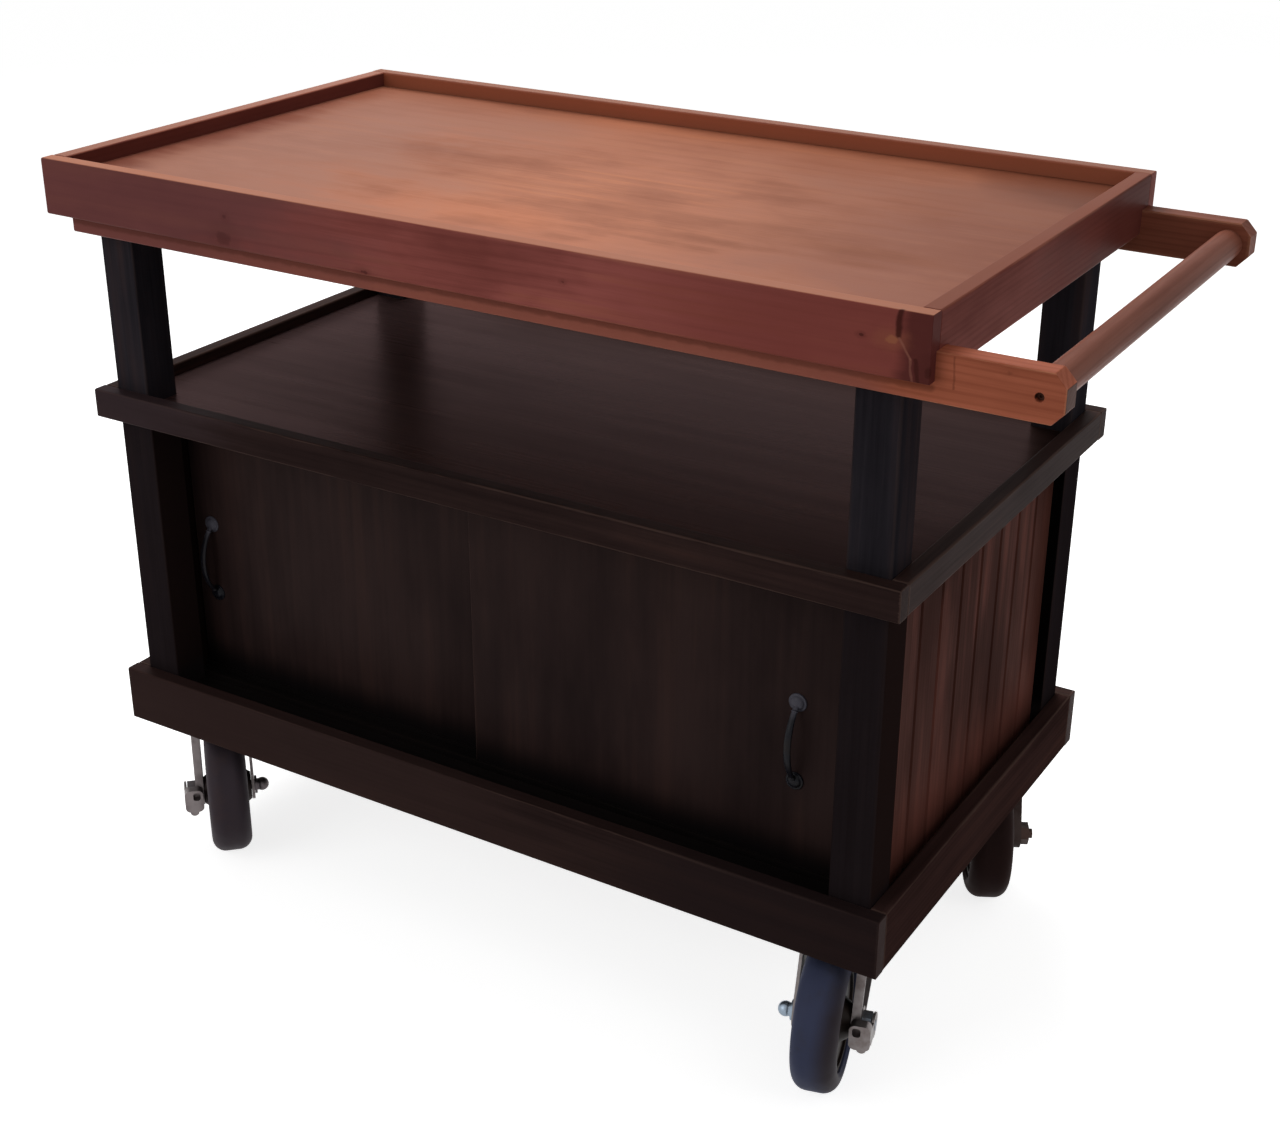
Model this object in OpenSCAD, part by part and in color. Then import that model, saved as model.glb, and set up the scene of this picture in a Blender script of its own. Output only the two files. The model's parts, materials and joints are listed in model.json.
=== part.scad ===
// Serving cart: a rimmed wooden tray with a push handle, an open shelf, a cabinet with two
// sliding doors, and four swivel casters, of which the front two have foot brakes.
// Millimetres, +Z up. The floor is z = 0 and the origin is the middle of the footprint's box.
// Front is -Y, and the handle is at the right end, +X.

/* [Tray] */
// Length of the tray over its end boards
tray_l = 1080; // [1040:5:1180]
// Depth of the tray over its front and back boards
tray_d = 612; // [596:2:660]
// Thickness of the tray's edge boards
rim_t = 19; // [17:0.5:22]
// Height of the tray's edge boards
rim_h = 64; // [56:1:72]
// Thickness of the tray's floor panel
tray_floor_t = 18; // [15:1:22]
// Depth of the tray, from the top of its edge boards to its floor
tray_recess = 18; // [12:1:24]
// Depth of the step in the edge boards that laps over the rails
rim_lap = 6; // [4:0.5:8]

/* [Handle] */
// Thickness of the two long rails, whose right ends are the handle's arms
rail_t = 25; // [22:0.5:30]
// Height of the rails
rail_h = 48; // [44:1:56]
// Length of the arms past the tray's end board
arm_out = 120; // [100:1:140]
// Length of the slope at each corner of an arm's end
arm_bevel = 12; // [8:1:16]
// Height of the slope at each corner of an arm's end
arm_bevel_h = 13; // [8:1:16]
// Gap between the rails' left ends and the left end board
rail_short = 6; // [4:1:12]
// Diameter of the push bar
bar_d = 32; // [26:1:36]
// Distance of the push bar's axis from the ends of the arms
bar_back = 24; // [22:1:28]
// Diameter of the push bar's two screws
bar_screw_d = 5; // [4:0.5:6]
// Diameter of the screw holes' mouths on the arms' outer faces
bar_hole_d = 8.6; // [8:0.2:11]
// Depth of the screw holes' mouths
bar_hole_depth = 9; // [7:0.5:12]

/* [Frame] */
// Width of the square posts
post_w = 48; // [44:1:54]
// Distance of the posts' outer faces from the ends of the tray
post_inset = 39.5; // [34:0.5:46]
// Height of the open space between the shelf's edge boards and the rails' tops
open_h = 240; // [200:5:280]
// Height of the cabinet, from its floor to the shelf's edge boards
cabinet_h = 362; // [320:2:400]
// Thickness of the edge boards of the shelf and of the base
board_t = 19; // [16:0.5:22]
// Slope cut along the boards' long edges
edge_ease = 1.5; // [1:0.1:2]

/* [Shelf and base] */
// Height of the shelf's edge boards
shelf_rim_h = 35; // [33:1:45]
// Depth of the shelf's floor below its edge boards
shelf_recess = 14; // [10:1:15]
// Thickness of the shelf's floor
shelf_t = 18; // [15:1:20]
// Gap between the shelf's floor and its front and back edge boards
shelf_gap = 0.8; // [0.5:0.1:1.5]
// Height of the base's edge boards
base_rim_h = 71; // [60:1:75]
// Depth of the cabinet's floor below the base's edge boards
base_recess = 24; // [18:1:28]
// Thickness of the cabinet's floor
base_t = 18; // [16:1:22]

/* [Cabinet panels] */
// Distance of the planked panels behind the posts' outer faces
panel_inset = 13.5; // [10:0.5:16]
// Thickness of the planked panels
panel_t = 14; // [12:0.5:16]
// Width of one plank
plank_w = 53.3; // [45:0.1:70]
// Place of one groove of the end panels, from the middle of the panel
plank_shift = 8; // [-20:0.5:20]
// Width of the grooves between planks
groove_w = 7; // [5:0.5:9]

/* [Sliding doors] */
// Thickness of the doors
door_t = 18; // [15:1:20]
// Distance from the posts' back faces to the front door
door_front = 4; // [3:0.5:6]
// Gap between the two doors
door_gap = 3; // [2.5:0.5:5]
// Width of the doors' overlap in the middle
door_overlap = 64; // [50:2:80]
// Length of each door that is hidden behind its post
door_hide = 17.5; // [10:0.5:18]
// Clearance between a door and its tracks
door_play = 0.3; // [0.3:0.1:0.5]
// Thickness of the tracks' floor strips
track_t = 2; // [1.5:0.5:3]
// Height of the tracks' lips
track_lip = 6; // [5:0.5:8]

/* [Pulls] */
// Height of the bow pulls over their round feet
pull_h = 115; // [100:1:130]
// Diameter of the pulls' round feet
pull_foot_d = 21; // [18:0.5:24]
// Distance of the bow's front from the door
pull_out = 24; // [20:0.5:28]
// Width of the bow
pull_w = 8.5; // [7:0.5:10]
// Thickness of the bow
pull_t = 4; // [3:0.5:5]
// Height of the pulls' middles above the cabinet's floor
pull_up = 159; // [130:1:190]
// Distance of the left pull from the left door's outer edge
pull_in_left = 29; // [28.5:0.5:60]
// Distance of the right pull from the right door's outer edge
pull_in_right = 86; // [60:1:110]
// Diameter of the pulls' screws
pull_screw_d = 4; // [3:0.5:5]

/* [Casters] */
// Diameter of the wheels
wheel_d = 160; // [150:1:170]
// Width of the tyres
wheel_w = 50; // [44:1:54]
// Radius of the tyres' shoulders
tread_r = 17; // [12:1:20]
// Thickness of the tyres over the wheel cores
tyre_t = 22; // [20:1:26]
// Distance of the axles behind the swivel axes
trail = 50; // [44:1:52]
// Clear height above the wheels, under the forks' crowns
wheel_clear = 5; // [4:0.5:6]
// Clear width between a fork's legs
fork_gap = 60; // [58:0.5:62]
// Thickness of the forks' steel
leg_t = 3.5; // [3:0.25:4.5]
// Radius of the legs' round lower ends
leg_r = 18; // [16:0.5:19]
// Depth of the rim round the edge of each fork's outer leg
leg_rim = 6.5; // [4:0.5:8]
// Height of the swivel bearings, from crown to plate
race_h = 25.5; // [22:0.5:28]
// Thickness of the mounting plates
plate_t = 4; // [3:0.5:5]
// Length of the mounting plates
plate_l = 110; // [100:1:114]
// Width of the mounting plates
plate_w = 90; // [84:1:100]
// Diameter of the axles
axle_d = 12; // [10:0.5:14]
// Diameter of the pins that the forks turn on
kingpin_d = 12; // [10:0.5:14]
// Distance of the swivel axes from the base's end boards
caster_in_x = 59.5; // [58:0.5:66]
// Distance of the swivel axes from the base's front and back boards
caster_in_y = 56; // [55:0.5:64]
// Turn of the front left caster
turn_front_left = -45.4; // [-90:0.1:0]
// Turn of the front right caster
turn_front_right = -75.1; // [-90:0.1:0]
// Turn of the back left caster
turn_back_left = -55; // [-90:0.1:0]
// Turn of the back right caster
turn_back_right = -62.4; // [-90:0.1:0]

/* [Brakes] */
// Width of the pedals
pedal_w = 23; // [20:0.5:25]
// Height of the pedals
pedal_h = 31; // [27:1:36]
// Thickness of the pedals' arms and tongues
pedal_t = 2.5; // [2:0.25:3.5]
// Length of the pedals past the axles
pedal_l = 32; // [29:1:40]
// Height of the pedals' tops above the axles
pedal_rise = 19; // [15:0.5:22]
// Length of the tongues under the pedals
tongue_l = 11; // [8:1:14]

/* [Hidden] */
$fn = 64;

// Running clearance of a pin in its bore, on the radius
bore_play = 0.05;
// Clearance round a screw, on the radius
screw_play = 0.1;
// Clearance between pieces that move past each other
run_gap = 0.3;
// Free depth of a pilot hole past the screw's tip
tip_gap = 1;
// Overrun of a cut past the face that it opens
cut = 1;

// Heights above the floor, from the wheels up
axle_z = wheel_d / 2;
crown_z = wheel_d + wheel_clear;
fork_top = crown_z + leg_t;
plate_z = fork_top + race_h;
caster_h = plate_z + plate_t;
base_top = caster_h + base_t;
base_rim_z = base_top + base_recess - base_rim_h;
shelf_rim_z = base_top + cabinet_h;
shelf_rim_top = shelf_rim_z + shelf_rim_h;
shelf_top = shelf_rim_top - shelf_recess;
shelf_under = shelf_top - shelf_t;
rail_top = shelf_rim_top + open_h;
rail_z = rail_top - rail_h;
tray_top = rail_top + tray_floor_t;
rim_top = tray_top + tray_recess;
rim_z = rim_top - rim_h;
lap_h = rail_top - rim_z;
bar_z = rail_z + rail_h / 2;

// Half widths from the tray's middle: the posts' outer faces, the base and the rails
post_x = tray_l / 2 - post_inset;
rail_y = tray_d / 2 - rim_t + rim_lap;
post_y = rail_y - rail_t;
base_x = post_x + board_t;
base_y = post_y + board_t;
post_in_x = post_x - post_w;
post_in_y = post_y - post_w;
arm_x = tray_l / 2 + arm_out;
bar_x = arm_x - bar_back;
apron_t = 22;
apron_in = 4;

// Planked panels
panel_x = post_x - panel_inset;
panel_y = post_y - panel_inset;
panel_h = shelf_under - base_top;

// Doors, seen from the front: the right one runs in front of the left one
door_w = post_in_x + door_hide + door_overlap / 2;
door_z = base_top + track_t + door_play;
door_h = shelf_under - track_t - 2 * door_play - door_z;
door_right_y = -post_in_y + door_front;
door_left_y = door_right_y + door_t + door_gap;
door_right_x = -door_overlap / 2;
door_left_x = door_overlap / 2 - door_w;
pull_left_x = door_left_x + pull_in_left;
pull_right_x = door_right_x + door_w - pull_in_right;
pull_z = base_top + pull_up;
pull_foot_z = pull_h / 2 - pull_foot_d / 2;
pull_foot_h = 4.5;
pull_bore_deep = 3;
pull_screw_in = 2.5;
pull_head_d = 8;
pull_head_h = 2.6;

// Push bar screws
bar_screw_head_d = 8;
bar_screw_head_h = 4;
bar_screw_l = 44;
bar_socket_h = 2;

// Casters: front left, front right, back left, back right
caster_x = post_x - caster_in_x;
caster_y = post_y - caster_in_y;
SIDE = [[-1, -1], [1, -1], [-1, 1], [1, 1]];
TURN = [turn_front_left, turn_front_right, turn_back_left, turn_back_right];
wheel_r = wheel_d / 2;
dish_r = 38;
dish_h = 16;
dish_slope = 3;
race_r = 33;
race_col_r = 24;
ball_d = 8;
ball_n = 12;
crown_r = 36;
leg_top_r = crown_r;
leg_shoulder = 25;
leg_top_z = crown_z - leg_shoulder;
bend_r = 6;
pin_head_d = 24;
pin_head_h = 5;
pin_head_slope = 3;
plate_corner = 8;
plate_hole_in = 12;
plate_hole_x = plate_l / 2 - plate_hole_in;
plate_hole_y = plate_w / 2 - plate_hole_in;
lag_d = 8;
lag_head = 13;
lag_head_h = 5.5;
lag_deep = 13;
hub_r = wheel_r - tyre_t;
hub_rim_t = 6;
hub_rim_w = 40;
hub_web_t = 34;
hub_boss_r = 17;
hub_cone_r = 26;
tyre_seat_w = 44;
leg_out = fork_gap / 2 + leg_t;
nut_af = 24;
nut_h = 10;
nut_y = leg_out + leg_rim + run_gap;
nut_end = nut_y + nut_h;
cap_h = 18;
cap_r = 8.5;
cap_flange = 3;
cap_neck = 1;
bolt_past_nut = 5;
bolt_past_pedal = 0.5;

// Brake pedals
pedal_nut_gap = 1.2;
pedal_leg_gap = 2;
pedal_corner_r = 7;
pedal_wall = 3.5;
pedal_out = nut_end + pedal_nut_gap + pedal_t;
pedal_in = pedal_out - pedal_w;
pedal_low = pedal_rise - pedal_h;
pedal_start = leg_r + pedal_leg_gap;
pedal_boss_r = 14;
pedal_arm_h = 20;
pocket_w = 9;
pocket_h = 11;
tongue_w = 11;
tongue_y = (pedal_in + pedal_out) / 2 + 1;

// Half depth, along Y, that a wheel takes when its caster is turned by a
function wheel_reach(a) =
    (wheel_r - tread_r) * abs(sin(a)) + (wheel_w / 2 - tread_r) * abs(cos(a)) + tread_r;
// Middle of wheel i along Y, from the tray's middle
function wheel_y(i) = SIDE[i][1] * caster_y + trail * sin(TURN[i]);
low_y = min(-tray_d / 2, min([for (i = [0:3]) wheel_y(i) - wheel_reach(TURN[i])]));
high_y = max(tray_d / 2, max([for (i = [0:3]) wheel_y(i) + wheel_reach(TURN[i])]));

// Everything is drawn from the tray's middle and moved so that the box's middle is the origin
module placed() {
    translate([-arm_out / 2, -(low_y + high_y) / 2, 0])
        children();
}

// Outline of a board's end with its four edges eased
module eased(w, h) {
    e = edge_ease;
    polygon([[e, 0], [w - e, 0], [w, e], [w, h - e], [w - e, h], [e, h], [0, h - e], [0, e]]);
}

// Extrudes an outline drawn in Y and Z along X
module along_x(l) {
    rotate([90, 0, 90])
        linear_extrude(l)
            children();
}

// Extrudes an outline drawn in X and Z along Y
module along_y(l) {
    translate([0, l, 0])
        rotate([90, 0, 0])
            linear_extrude(l)
                children();
}

// Two circles joined by their outer tangents, the second at p from the first
module taper(r1, r2, p) {
    d = norm(p);
    u = p / d;
    v = [u[1], -u[0]];
    s = (r1 - r2) / d;
    c = sqrt(1 - s * s);
    n1 = s * u + c * v;
    n2 = s * u - c * v;
    circle(r1);
    translate(p)
        circle(r2);
    polygon([r1 * n1, p + r2 * n1, p + r2 * n2, r1 * n2]);
}

// Long edge board of the tray, stepped inside to lap over its rail
module tray_rim_long() {
    translate([-tray_l / 2, -tray_d / 2, rim_z])
        along_x(tray_l)
            difference() {
                eased(rim_t, rim_h);
                translate([rim_t - rim_lap, -cut])
                    square([rim_lap + cut, lap_h + cut]);
            }
}

module tray_rim_front() {
    placed()
        color("saddlebrown")
            tray_rim_long();
}

module tray_rim_back() {
    placed()
        color("saddlebrown")
            mirror([0, 1, 0])
                tray_rim_long();
}

// End board of the tray, between the long boards
module tray_rim_end() {
    translate([tray_l / 2 - rim_t, rim_t - tray_d / 2, rim_z])
        along_y(tray_d - 2 * rim_t)
            eased(rim_t, rim_h);
}

module tray_rim_left() {
    placed()
        color("saddlebrown")
            mirror([1, 0, 0])
                tray_rim_end();
}

// The right end board is notched where the two arms pass
module tray_rim_right() {
    notch = rail_t - rim_lap;
    placed()
        color("saddlebrown")
            difference() {
                tray_rim_end();
                for (s = [-1, 1])
                    translate([tray_l / 2 - rim_t / 2, s * (post_y + notch / 2), rim_z])
                        cube([rim_t + 2 * cut, notch, 2 * lap_h], center = true);
            }
}

module tray_panel() {
    placed()
        color("peru")
            translate([rim_t - tray_l / 2, rim_t - tray_d / 2, rail_top])
                cube([tray_l - 2 * rim_t, tray_d - 2 * rim_t, tray_floor_t]);
}

// Rail under the tray's front edge, whose right end is an arm of the handle
module handle_rail() {
    x0 = rim_t + rail_short - tray_l / 2;
    b = arm_bevel;
    h = arm_bevel_h;
    difference() {
        intersection() {
            translate([0, -rail_y, 0])
                along_y(rail_t)
                    polygon([
                        [x0, rail_z], [arm_x - b, rail_z], [arm_x, rail_z + h],
                        [arm_x, rail_top - h], [arm_x - b, rail_top], [x0, rail_top]
                    ]);
            translate([x0, -rail_y, rail_z])
                along_x(arm_x - x0)
                    eased(rail_t, rail_h);
        }
        translate([bar_x, -rail_y - cut, bar_z])
            rotate([-90, 0, 0]) {
                cylinder(d = bar_hole_d, h = bar_hole_depth + cut);
                cylinder(d = bar_screw_d + 2 * screw_play, h = rail_t + 2 * cut);
            }
    }
}

module handle_rail_front() {
    placed()
        color("chocolate")
            handle_rail();
}

module handle_rail_back() {
    placed()
        color("chocolate")
            mirror([0, 1, 0])
                handle_rail();
}

// Cross rail under the tray, between the two posts of one end
module apron(s) {
    placed()
        color("dimgray")
            translate([s * (post_x - apron_in - apron_t / 2) - apron_t / 2, -post_in_y, rail_z])
                along_y(2 * post_in_y)
                    eased(apron_t, rail_h);
}

module apron_left() {
    apron(-1);
}

module apron_right() {
    apron(1);
}

module push_bar() {
    pilot = bar_screw_l + bar_hole_depth - rail_t + tip_gap;
    placed()
        color("chocolate")
            translate([bar_x, 0, bar_z])
                rotate([90, 0, 0])
                    difference() {
                        cylinder(d = bar_d, h = 2 * post_y, center = true);
                        for (s = [0, 1])
                            mirror([0, 0, s])
                                translate([0, 0, post_y - pilot])
                                    cylinder(d = bar_screw_d + 2 * screw_play, h = pilot + cut);
                    }
}

module push_bar_screws() {
    placed()
        color("silver")
            for (s = [0, 1])
                mirror([0, s, 0])
                    translate([bar_x, bar_hole_depth - rail_y, bar_z])
                        rotate([-90, 0, 0]) {
                            difference() {
                                translate([0, 0, -bar_screw_head_h])
                                    cylinder(d = bar_screw_head_d, h = bar_screw_head_h);
                                translate([0, 0, -bar_screw_head_h - cut])
                                    cylinder(d = bar_screw_head_d / 2, h = cut + bar_socket_h, $fn = 6);
                            }
                            cylinder(d = bar_screw_d, h = bar_screw_l);
                        }
}

// One post, from the cabinet's floor to the underside of the tray
module post(sx, sy) {
    placed()
        color("#33261f")
            translate([
                sx * (post_x - post_w / 2) - post_w / 2,
                sy * (post_y - post_w / 2) - post_w / 2,
                base_top
            ])
                linear_extrude(rail_top - base_top)
                    eased(post_w, post_w);
}

module post_front_left() {
    post(-1, -1);
}

module post_front_right() {
    post(1, -1);
}

module post_back_left() {
    post(-1, 1);
}

module post_back_right() {
    post(1, 1);
}

// Long edge board of the shelf or of the base, s = -1 in front and 1 at the back
module long_board(s, z, h) {
    placed()
        color("#3c2c24")
            translate([-base_x, s * (base_y - board_t / 2) - board_t / 2, z])
                along_x(2 * base_x)
                    eased(board_t, h);
}

// End board of the shelf or of the base, between the long boards
module end_board(s, z, h) {
    placed()
        color("#463229")
            translate([s * (base_x - board_t / 2) - board_t / 2, -post_y, z])
                along_y(2 * post_y)
                    eased(board_t, h);
}

module shelf_rim_front() {
    long_board(-1, shelf_rim_z, shelf_rim_h);
}

module shelf_rim_back() {
    long_board(1, shelf_rim_z, shelf_rim_h);
}

module shelf_rim_left() {
    end_board(-1, shelf_rim_z, shelf_rim_h);
}

module shelf_rim_right() {
    end_board(1, shelf_rim_z, shelf_rim_h);
}

// Shelf floor, notched round the four posts
module shelf_panel() {
    d = 2 * (post_y - shelf_gap);
    placed()
        color("#4a3a33")
            difference() {
                translate([-post_x, -d / 2, shelf_under])
                    cube([2 * post_x, d, shelf_t]);
                for (c = SIDE)
                    translate([c[0] * post_x, c[1] * post_y, shelf_under + shelf_t / 2])
                        cube([2 * post_w, 2 * post_w, shelf_t + 2 * cut], center = true);
            }
}

module base_rim_front() {
    long_board(-1, base_rim_z, base_rim_h);
}

module base_rim_back() {
    long_board(1, base_rim_z, base_rim_h);
}

module base_rim_left() {
    end_board(-1, base_rim_z, base_rim_h);
}

module base_rim_right() {
    end_board(1, base_rim_z, base_rim_h);
}

// Cabinet floor, with the pilot holes of the casters' screws in its underside
module base_panel() {
    placed()
        color("#2c221d")
            difference() {
                translate([-post_x, -post_y, caster_h])
                    cube([2 * post_x, 2 * post_y, base_t]);
                at_casters()
                    at_plate_holes()
                        translate([0, 0, caster_h - cut])
                            cylinder(d = lag_d + 2 * screw_play, h = lag_deep + tip_gap + cut);
            }
}

// Outline of a planked panel of length l, its outer face at y = 0 and its grooves cut there
module planks(l, shift) {
    first = ceil((-l / 2 - shift) / plank_w);
    last = floor((l / 2 - shift) / plank_w);
    difference() {
        translate([-l / 2, 0])
            square([l, panel_t]);
        for (k = [first:last])
            if (abs(shift + k * plank_w) < l / 2 - groove_w)
                translate([shift + k * plank_w, 0])
                    rotate(45)
                        square(groove_w / sqrt(2), center = true);
    }
}

// Planked end panel between two posts
module side_panel(s) {
    placed()
        color("#5a3c30")
            translate([s * panel_x, 0, base_top])
                rotate(s * 90)
                    linear_extrude(panel_h)
                        planks(2 * post_in_y, s * plank_shift);
}

module side_panel_left() {
    side_panel(-1);
}

module side_panel_right() {
    side_panel(1);
}

module back_panel() {
    placed()
        color("#4a3228")
            translate([0, panel_y, base_top])
                rotate(180)
                    linear_extrude(panel_h)
                        planks(2 * post_in_x, 0);
}

// Grooved track in which both doors run: a floor strip and three lips
module door_track() {
    inner_x = panel_x - panel_t;
    front = -post_in_y;
    back = door_left_y + door_t + door_play + track_t;
    translate([-inner_x, 0, 0])
        along_x(2 * inner_x) {
            translate([front, 0])
                square([back - front, track_t]);
            translate([front, 0])
                square([door_front - door_play, track_t + track_lip]);
            translate([door_right_y + door_t + door_play, 0])
                square([door_gap - 2 * door_play, track_t + track_lip]);
            translate([back - track_t, 0])
                square([track_t, track_t + track_lip]);
        }
}

module door_track_bottom() {
    placed()
        color("#241c19")
            translate([0, 0, base_top])
                door_track();
}

module door_track_top() {
    placed()
        color("#241c19")
            translate([0, 0, shelf_under])
                mirror([0, 0, 1])
                    door_track();
}

// Door slab with its front lower left corner at x, y, drilled for the pull at px
module door(x, y, px) {
    placed()
        color("#43322a")
            difference() {
                translate([x, y, door_z])
                    linear_extrude(door_h)
                        eased(door_w, door_t);
                for (s = [-1, 1])
                    translate([px, y - cut, pull_z + s * pull_foot_z])
                        rotate([-90, 0, 0]) {
                            cylinder(d = pull_screw_d + 2 * screw_play, h = door_t + 2 * cut);
                            translate([0, 0, door_t + cut - pull_head_h - screw_play])
                                cylinder(d = pull_head_d + 2 * screw_play, h = pull_head_h + cut);
                        }
            }
}

module door_left() {
    door(door_left_x, door_left_y, pull_left_x);
}

module door_right() {
    door(door_right_x, door_right_y, pull_right_x);
}

// Round foot of a pull, domed, with its flat face on the door
module pull_foot() {
    r = pull_foot_d / 2;
    dome = (r * r + pull_foot_h * pull_foot_h) / (2 * pull_foot_h);
    rotate([90, 0, 0])
        rotate_extrude()
            intersection() {
                translate([0, pull_foot_h - dome])
                    circle(dome, $fn = 96);
                square([r, pull_foot_h]);
            }
}

// Arched bow between the feet, a stretch of a round hoop
module pull_bow() {
    half = pull_foot_z;
    rise = pull_out - pull_t / 2;
    hoop = (half * half + rise * rise) / (2 * rise);
    translate([-pull_w / 2, 0, 0])
        along_x(pull_w)
            intersection() {
                translate([hoop - rise, 0])
                    difference() {
                        circle(hoop + pull_t / 2, $fn = 96);
                        circle(hoop - pull_t / 2, $fn = 96);
                    }
                translate([-pull_out - cut, -half])
                    square([pull_out + cut, 2 * half]);
            }
}

module door_pull(x, y) {
    placed()
        color("#2a2626")
            translate([x, y, pull_z])
                difference() {
                    union() {
                        pull_bow();
                        for (s = [-1, 1])
                            translate([0, 0, s * pull_foot_z])
                                pull_foot();
                    }
                    for (s = [-1, 1])
                        translate([0, cut, s * pull_foot_z])
                            rotate([90, 0, 0])
                                cylinder(d = pull_screw_d + 2 * screw_play, h = pull_bore_deep + cut);
                }
}

module door_pull_left() {
    door_pull(pull_left_x, door_left_y);
}

module door_pull_right() {
    door_pull(pull_right_x, door_right_y);
}

// The two screws of a pull, from the door's back, their heads sunk flush
module pull_screws(x, y) {
    placed()
        color("silver")
            for (s = [-1, 1])
                translate([x, y + door_t, pull_z + s * pull_foot_z])
                    rotate([90, 0, 0]) {
                        cylinder(d = pull_head_d, h = pull_head_h);
                        cylinder(d = pull_screw_d, h = door_t + pull_screw_in);
                    }
}

module pull_screws_left() {
    pull_screws(pull_left_x, door_left_y);
}

module pull_screws_right() {
    pull_screws(pull_right_x, door_right_y);
}

// The four swivel axes
module at_casters() {
    for (c = SIDE)
        translate([c[0] * caster_x, c[1] * caster_y, 0])
            children();
}

// The swivel axis of caster i, turned so that its wheel trails along +X
module at_caster(i) {
    placed()
        translate([SIDE[i][0] * caster_x, SIDE[i][1] * caster_y, 0])
            rotate(TURN[i])
                children();
}

// Caster i with its outer side along +Y, which is mirrored on the front left one
module at_fork(i) {
    at_caster(i)
        mirror([0, i == 0 ? 1 : 0, 0])
            children();
}

// The axle of caster i, its outer end along +Y
module at_axle(i) {
    at_fork(i)
        translate([trail, 0, axle_z])
            children();
}

module at_plate_holes() {
    for (c = SIDE)
        translate([c[0] * plate_hole_x, c[1] * plate_hole_y, 0])
            children();
}

// Mounting plates, each with the dish that covers its ring of balls
module caster_plates() {
    placed()
        color("silver")
            at_casters()
                difference() {
                    union() {
                        translate([-plate_l / 2, -plate_w / 2, plate_z])
                            linear_extrude(plate_t)
                                rounded(plate_l, plate_w, plate_corner);
                        translate([0, 0, plate_z - dish_h])
                            cylinder(r1 = dish_r - dish_slope, r2 = dish_r, h = dish_slope);
                        translate([0, 0, plate_z - dish_h + dish_slope])
                            cylinder(r = dish_r, h = dish_h - dish_slope);
                    }
                    translate([0, 0, plate_z - dish_h - cut])
                        cylinder(r = race_r, h = dish_h / 2 + cut);
                    cylinder(d = kingpin_d + 2 * bore_play, h = caster_h + cut);
                    at_plate_holes()
                        translate([0, 0, plate_z - cut])
                            cylinder(d = lag_d + 2 * screw_play, h = plate_t + 2 * cut);
                }
}

// Rectangle with round corners, made of true arcs
module rounded(l, w, r) {
    translate([r, 0])
        square([l - 2 * r, w]);
    translate([0, r])
        square([l, w - 2 * r]);
    for (x = [r, l - r])
        for (y = [r, w - r])
            translate([x, y])
                circle(r);
}

// Hexagon head lag screws, four in each plate
module caster_screws() {
    placed()
        color("silver")
            at_casters()
                at_plate_holes() {
                    translate([0, 0, plate_z - lag_head_h])
                        cylinder(d = lag_head / cos(30), h = lag_head_h, $fn = 6);
                    translate([0, 0, plate_z])
                        cylinder(d = lag_d, h = plate_t + lag_deep);
                }
}

// Rivets that hold the forks to the plates
module kingpins() {
    placed()
        color("gray")
            at_casters() {
                translate([0, 0, crown_z - run_gap - pin_head_h])
                    cylinder(d1 = pin_head_d - 2 * pin_head_slope, d2 = pin_head_d, h = pin_head_h);
                translate([0, 0, crown_z - run_gap])
                    cylinder(d = kingpin_d, h = caster_h - crown_z + run_gap);
            }
}

// Rings of balls under the dishes
module swivel_balls() {
    ring_r = (race_r + race_col_r) / 2;
    placed()
        color("gainsboro")
            at_casters()
                for (k = [0:ball_n - 1])
                    rotate(k * 360 / ball_n)
                        translate([ring_r, 0, plate_z - dish_h + ball_d / 2 - run_gap / 2])
                            sphere(d = ball_d - run_gap, $fn = 32);
}

// Steel fork: a bent channel cut to the legs' outline, with its crown and lower race. The outer
// leg has a rim round its edge and a boss for the axle's nut.
module fork(i) {
    at_fork(i)
        color("#b9b6b0")
            difference() {
                union() {
                    intersection() {
                        translate([0, -leg_out, 0])
                            along_y(2 * leg_out)
                                fork_side(0);
                        translate([-2 * leg_top_r, 0, 0])
                            along_x(4 * leg_top_r + trail)
                                fork_end();
                    }
                    translate([0, leg_out - leg_t, 0])
                        along_y(leg_t + leg_rim)
                            fork_rim();
                    translate([0, 0, crown_z])
                        cylinder(r = crown_r, h = leg_t);
                    translate([0, 0, fork_top])
                        cylinder(r = race_r + 1, h = race_h - dish_h - run_gap);
                    translate([0, 0, fork_top])
                        cylinder(r = race_col_r, h = race_h - dish_h / 2 - run_gap);
                }
                translate([0, 0, crown_z - cut])
                    cylinder(d = kingpin_d + 2 * bore_play, h = race_h + leg_t + 2 * cut);
                translate([trail, nut_y + cut, axle_z])
                    rotate([90, 0, 0])
                        cylinder(d = axle_d + 2 * bore_play, h = nut_y + leg_out + 2 * cut);
            }
}

// Outline of the legs from the side, in X and Z, the distance e inside their edge
module fork_side(e) {
    translate([trail, axle_z])
        taper(leg_r - e, leg_top_r - e, [-trail, leg_top_z - axle_z]);
    translate([e - leg_top_r, leg_top_z])
        square([2 * (leg_top_r - e), fork_top - leg_top_z]);
}

// Outline of the outer leg's rim and boss, which end below the channel's bend
module fork_rim() {
    intersection() {
        difference() {
            fork_side(0);
            fork_side(leg_t);
        }
        translate([-leg_top_r, axle_z - leg_r])
            square([leg_top_r + trail + leg_r, fork_top - bend_r - axle_z + leg_r]);
    }
    translate([trail, axle_z])
        circle(leg_r);
}

// Outline of the bent channel from its end, in Y and Z
module fork_end() {
    difference() {
        union() {
            translate([-leg_out, 0])
                square([2 * leg_out, fork_top - bend_r]);
            translate([bend_r - leg_out, 0])
                square([2 * (leg_out - bend_r), fork_top]);
            for (s = [-1, 1])
                translate([s * (leg_out - bend_r), fork_top - bend_r])
                    circle(bend_r);
        }
        translate([-fork_gap / 2, -cut])
            square([fork_gap, crown_z + cut]);
    }
}

module fork_front_left() {
    fork(0);
}

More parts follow.
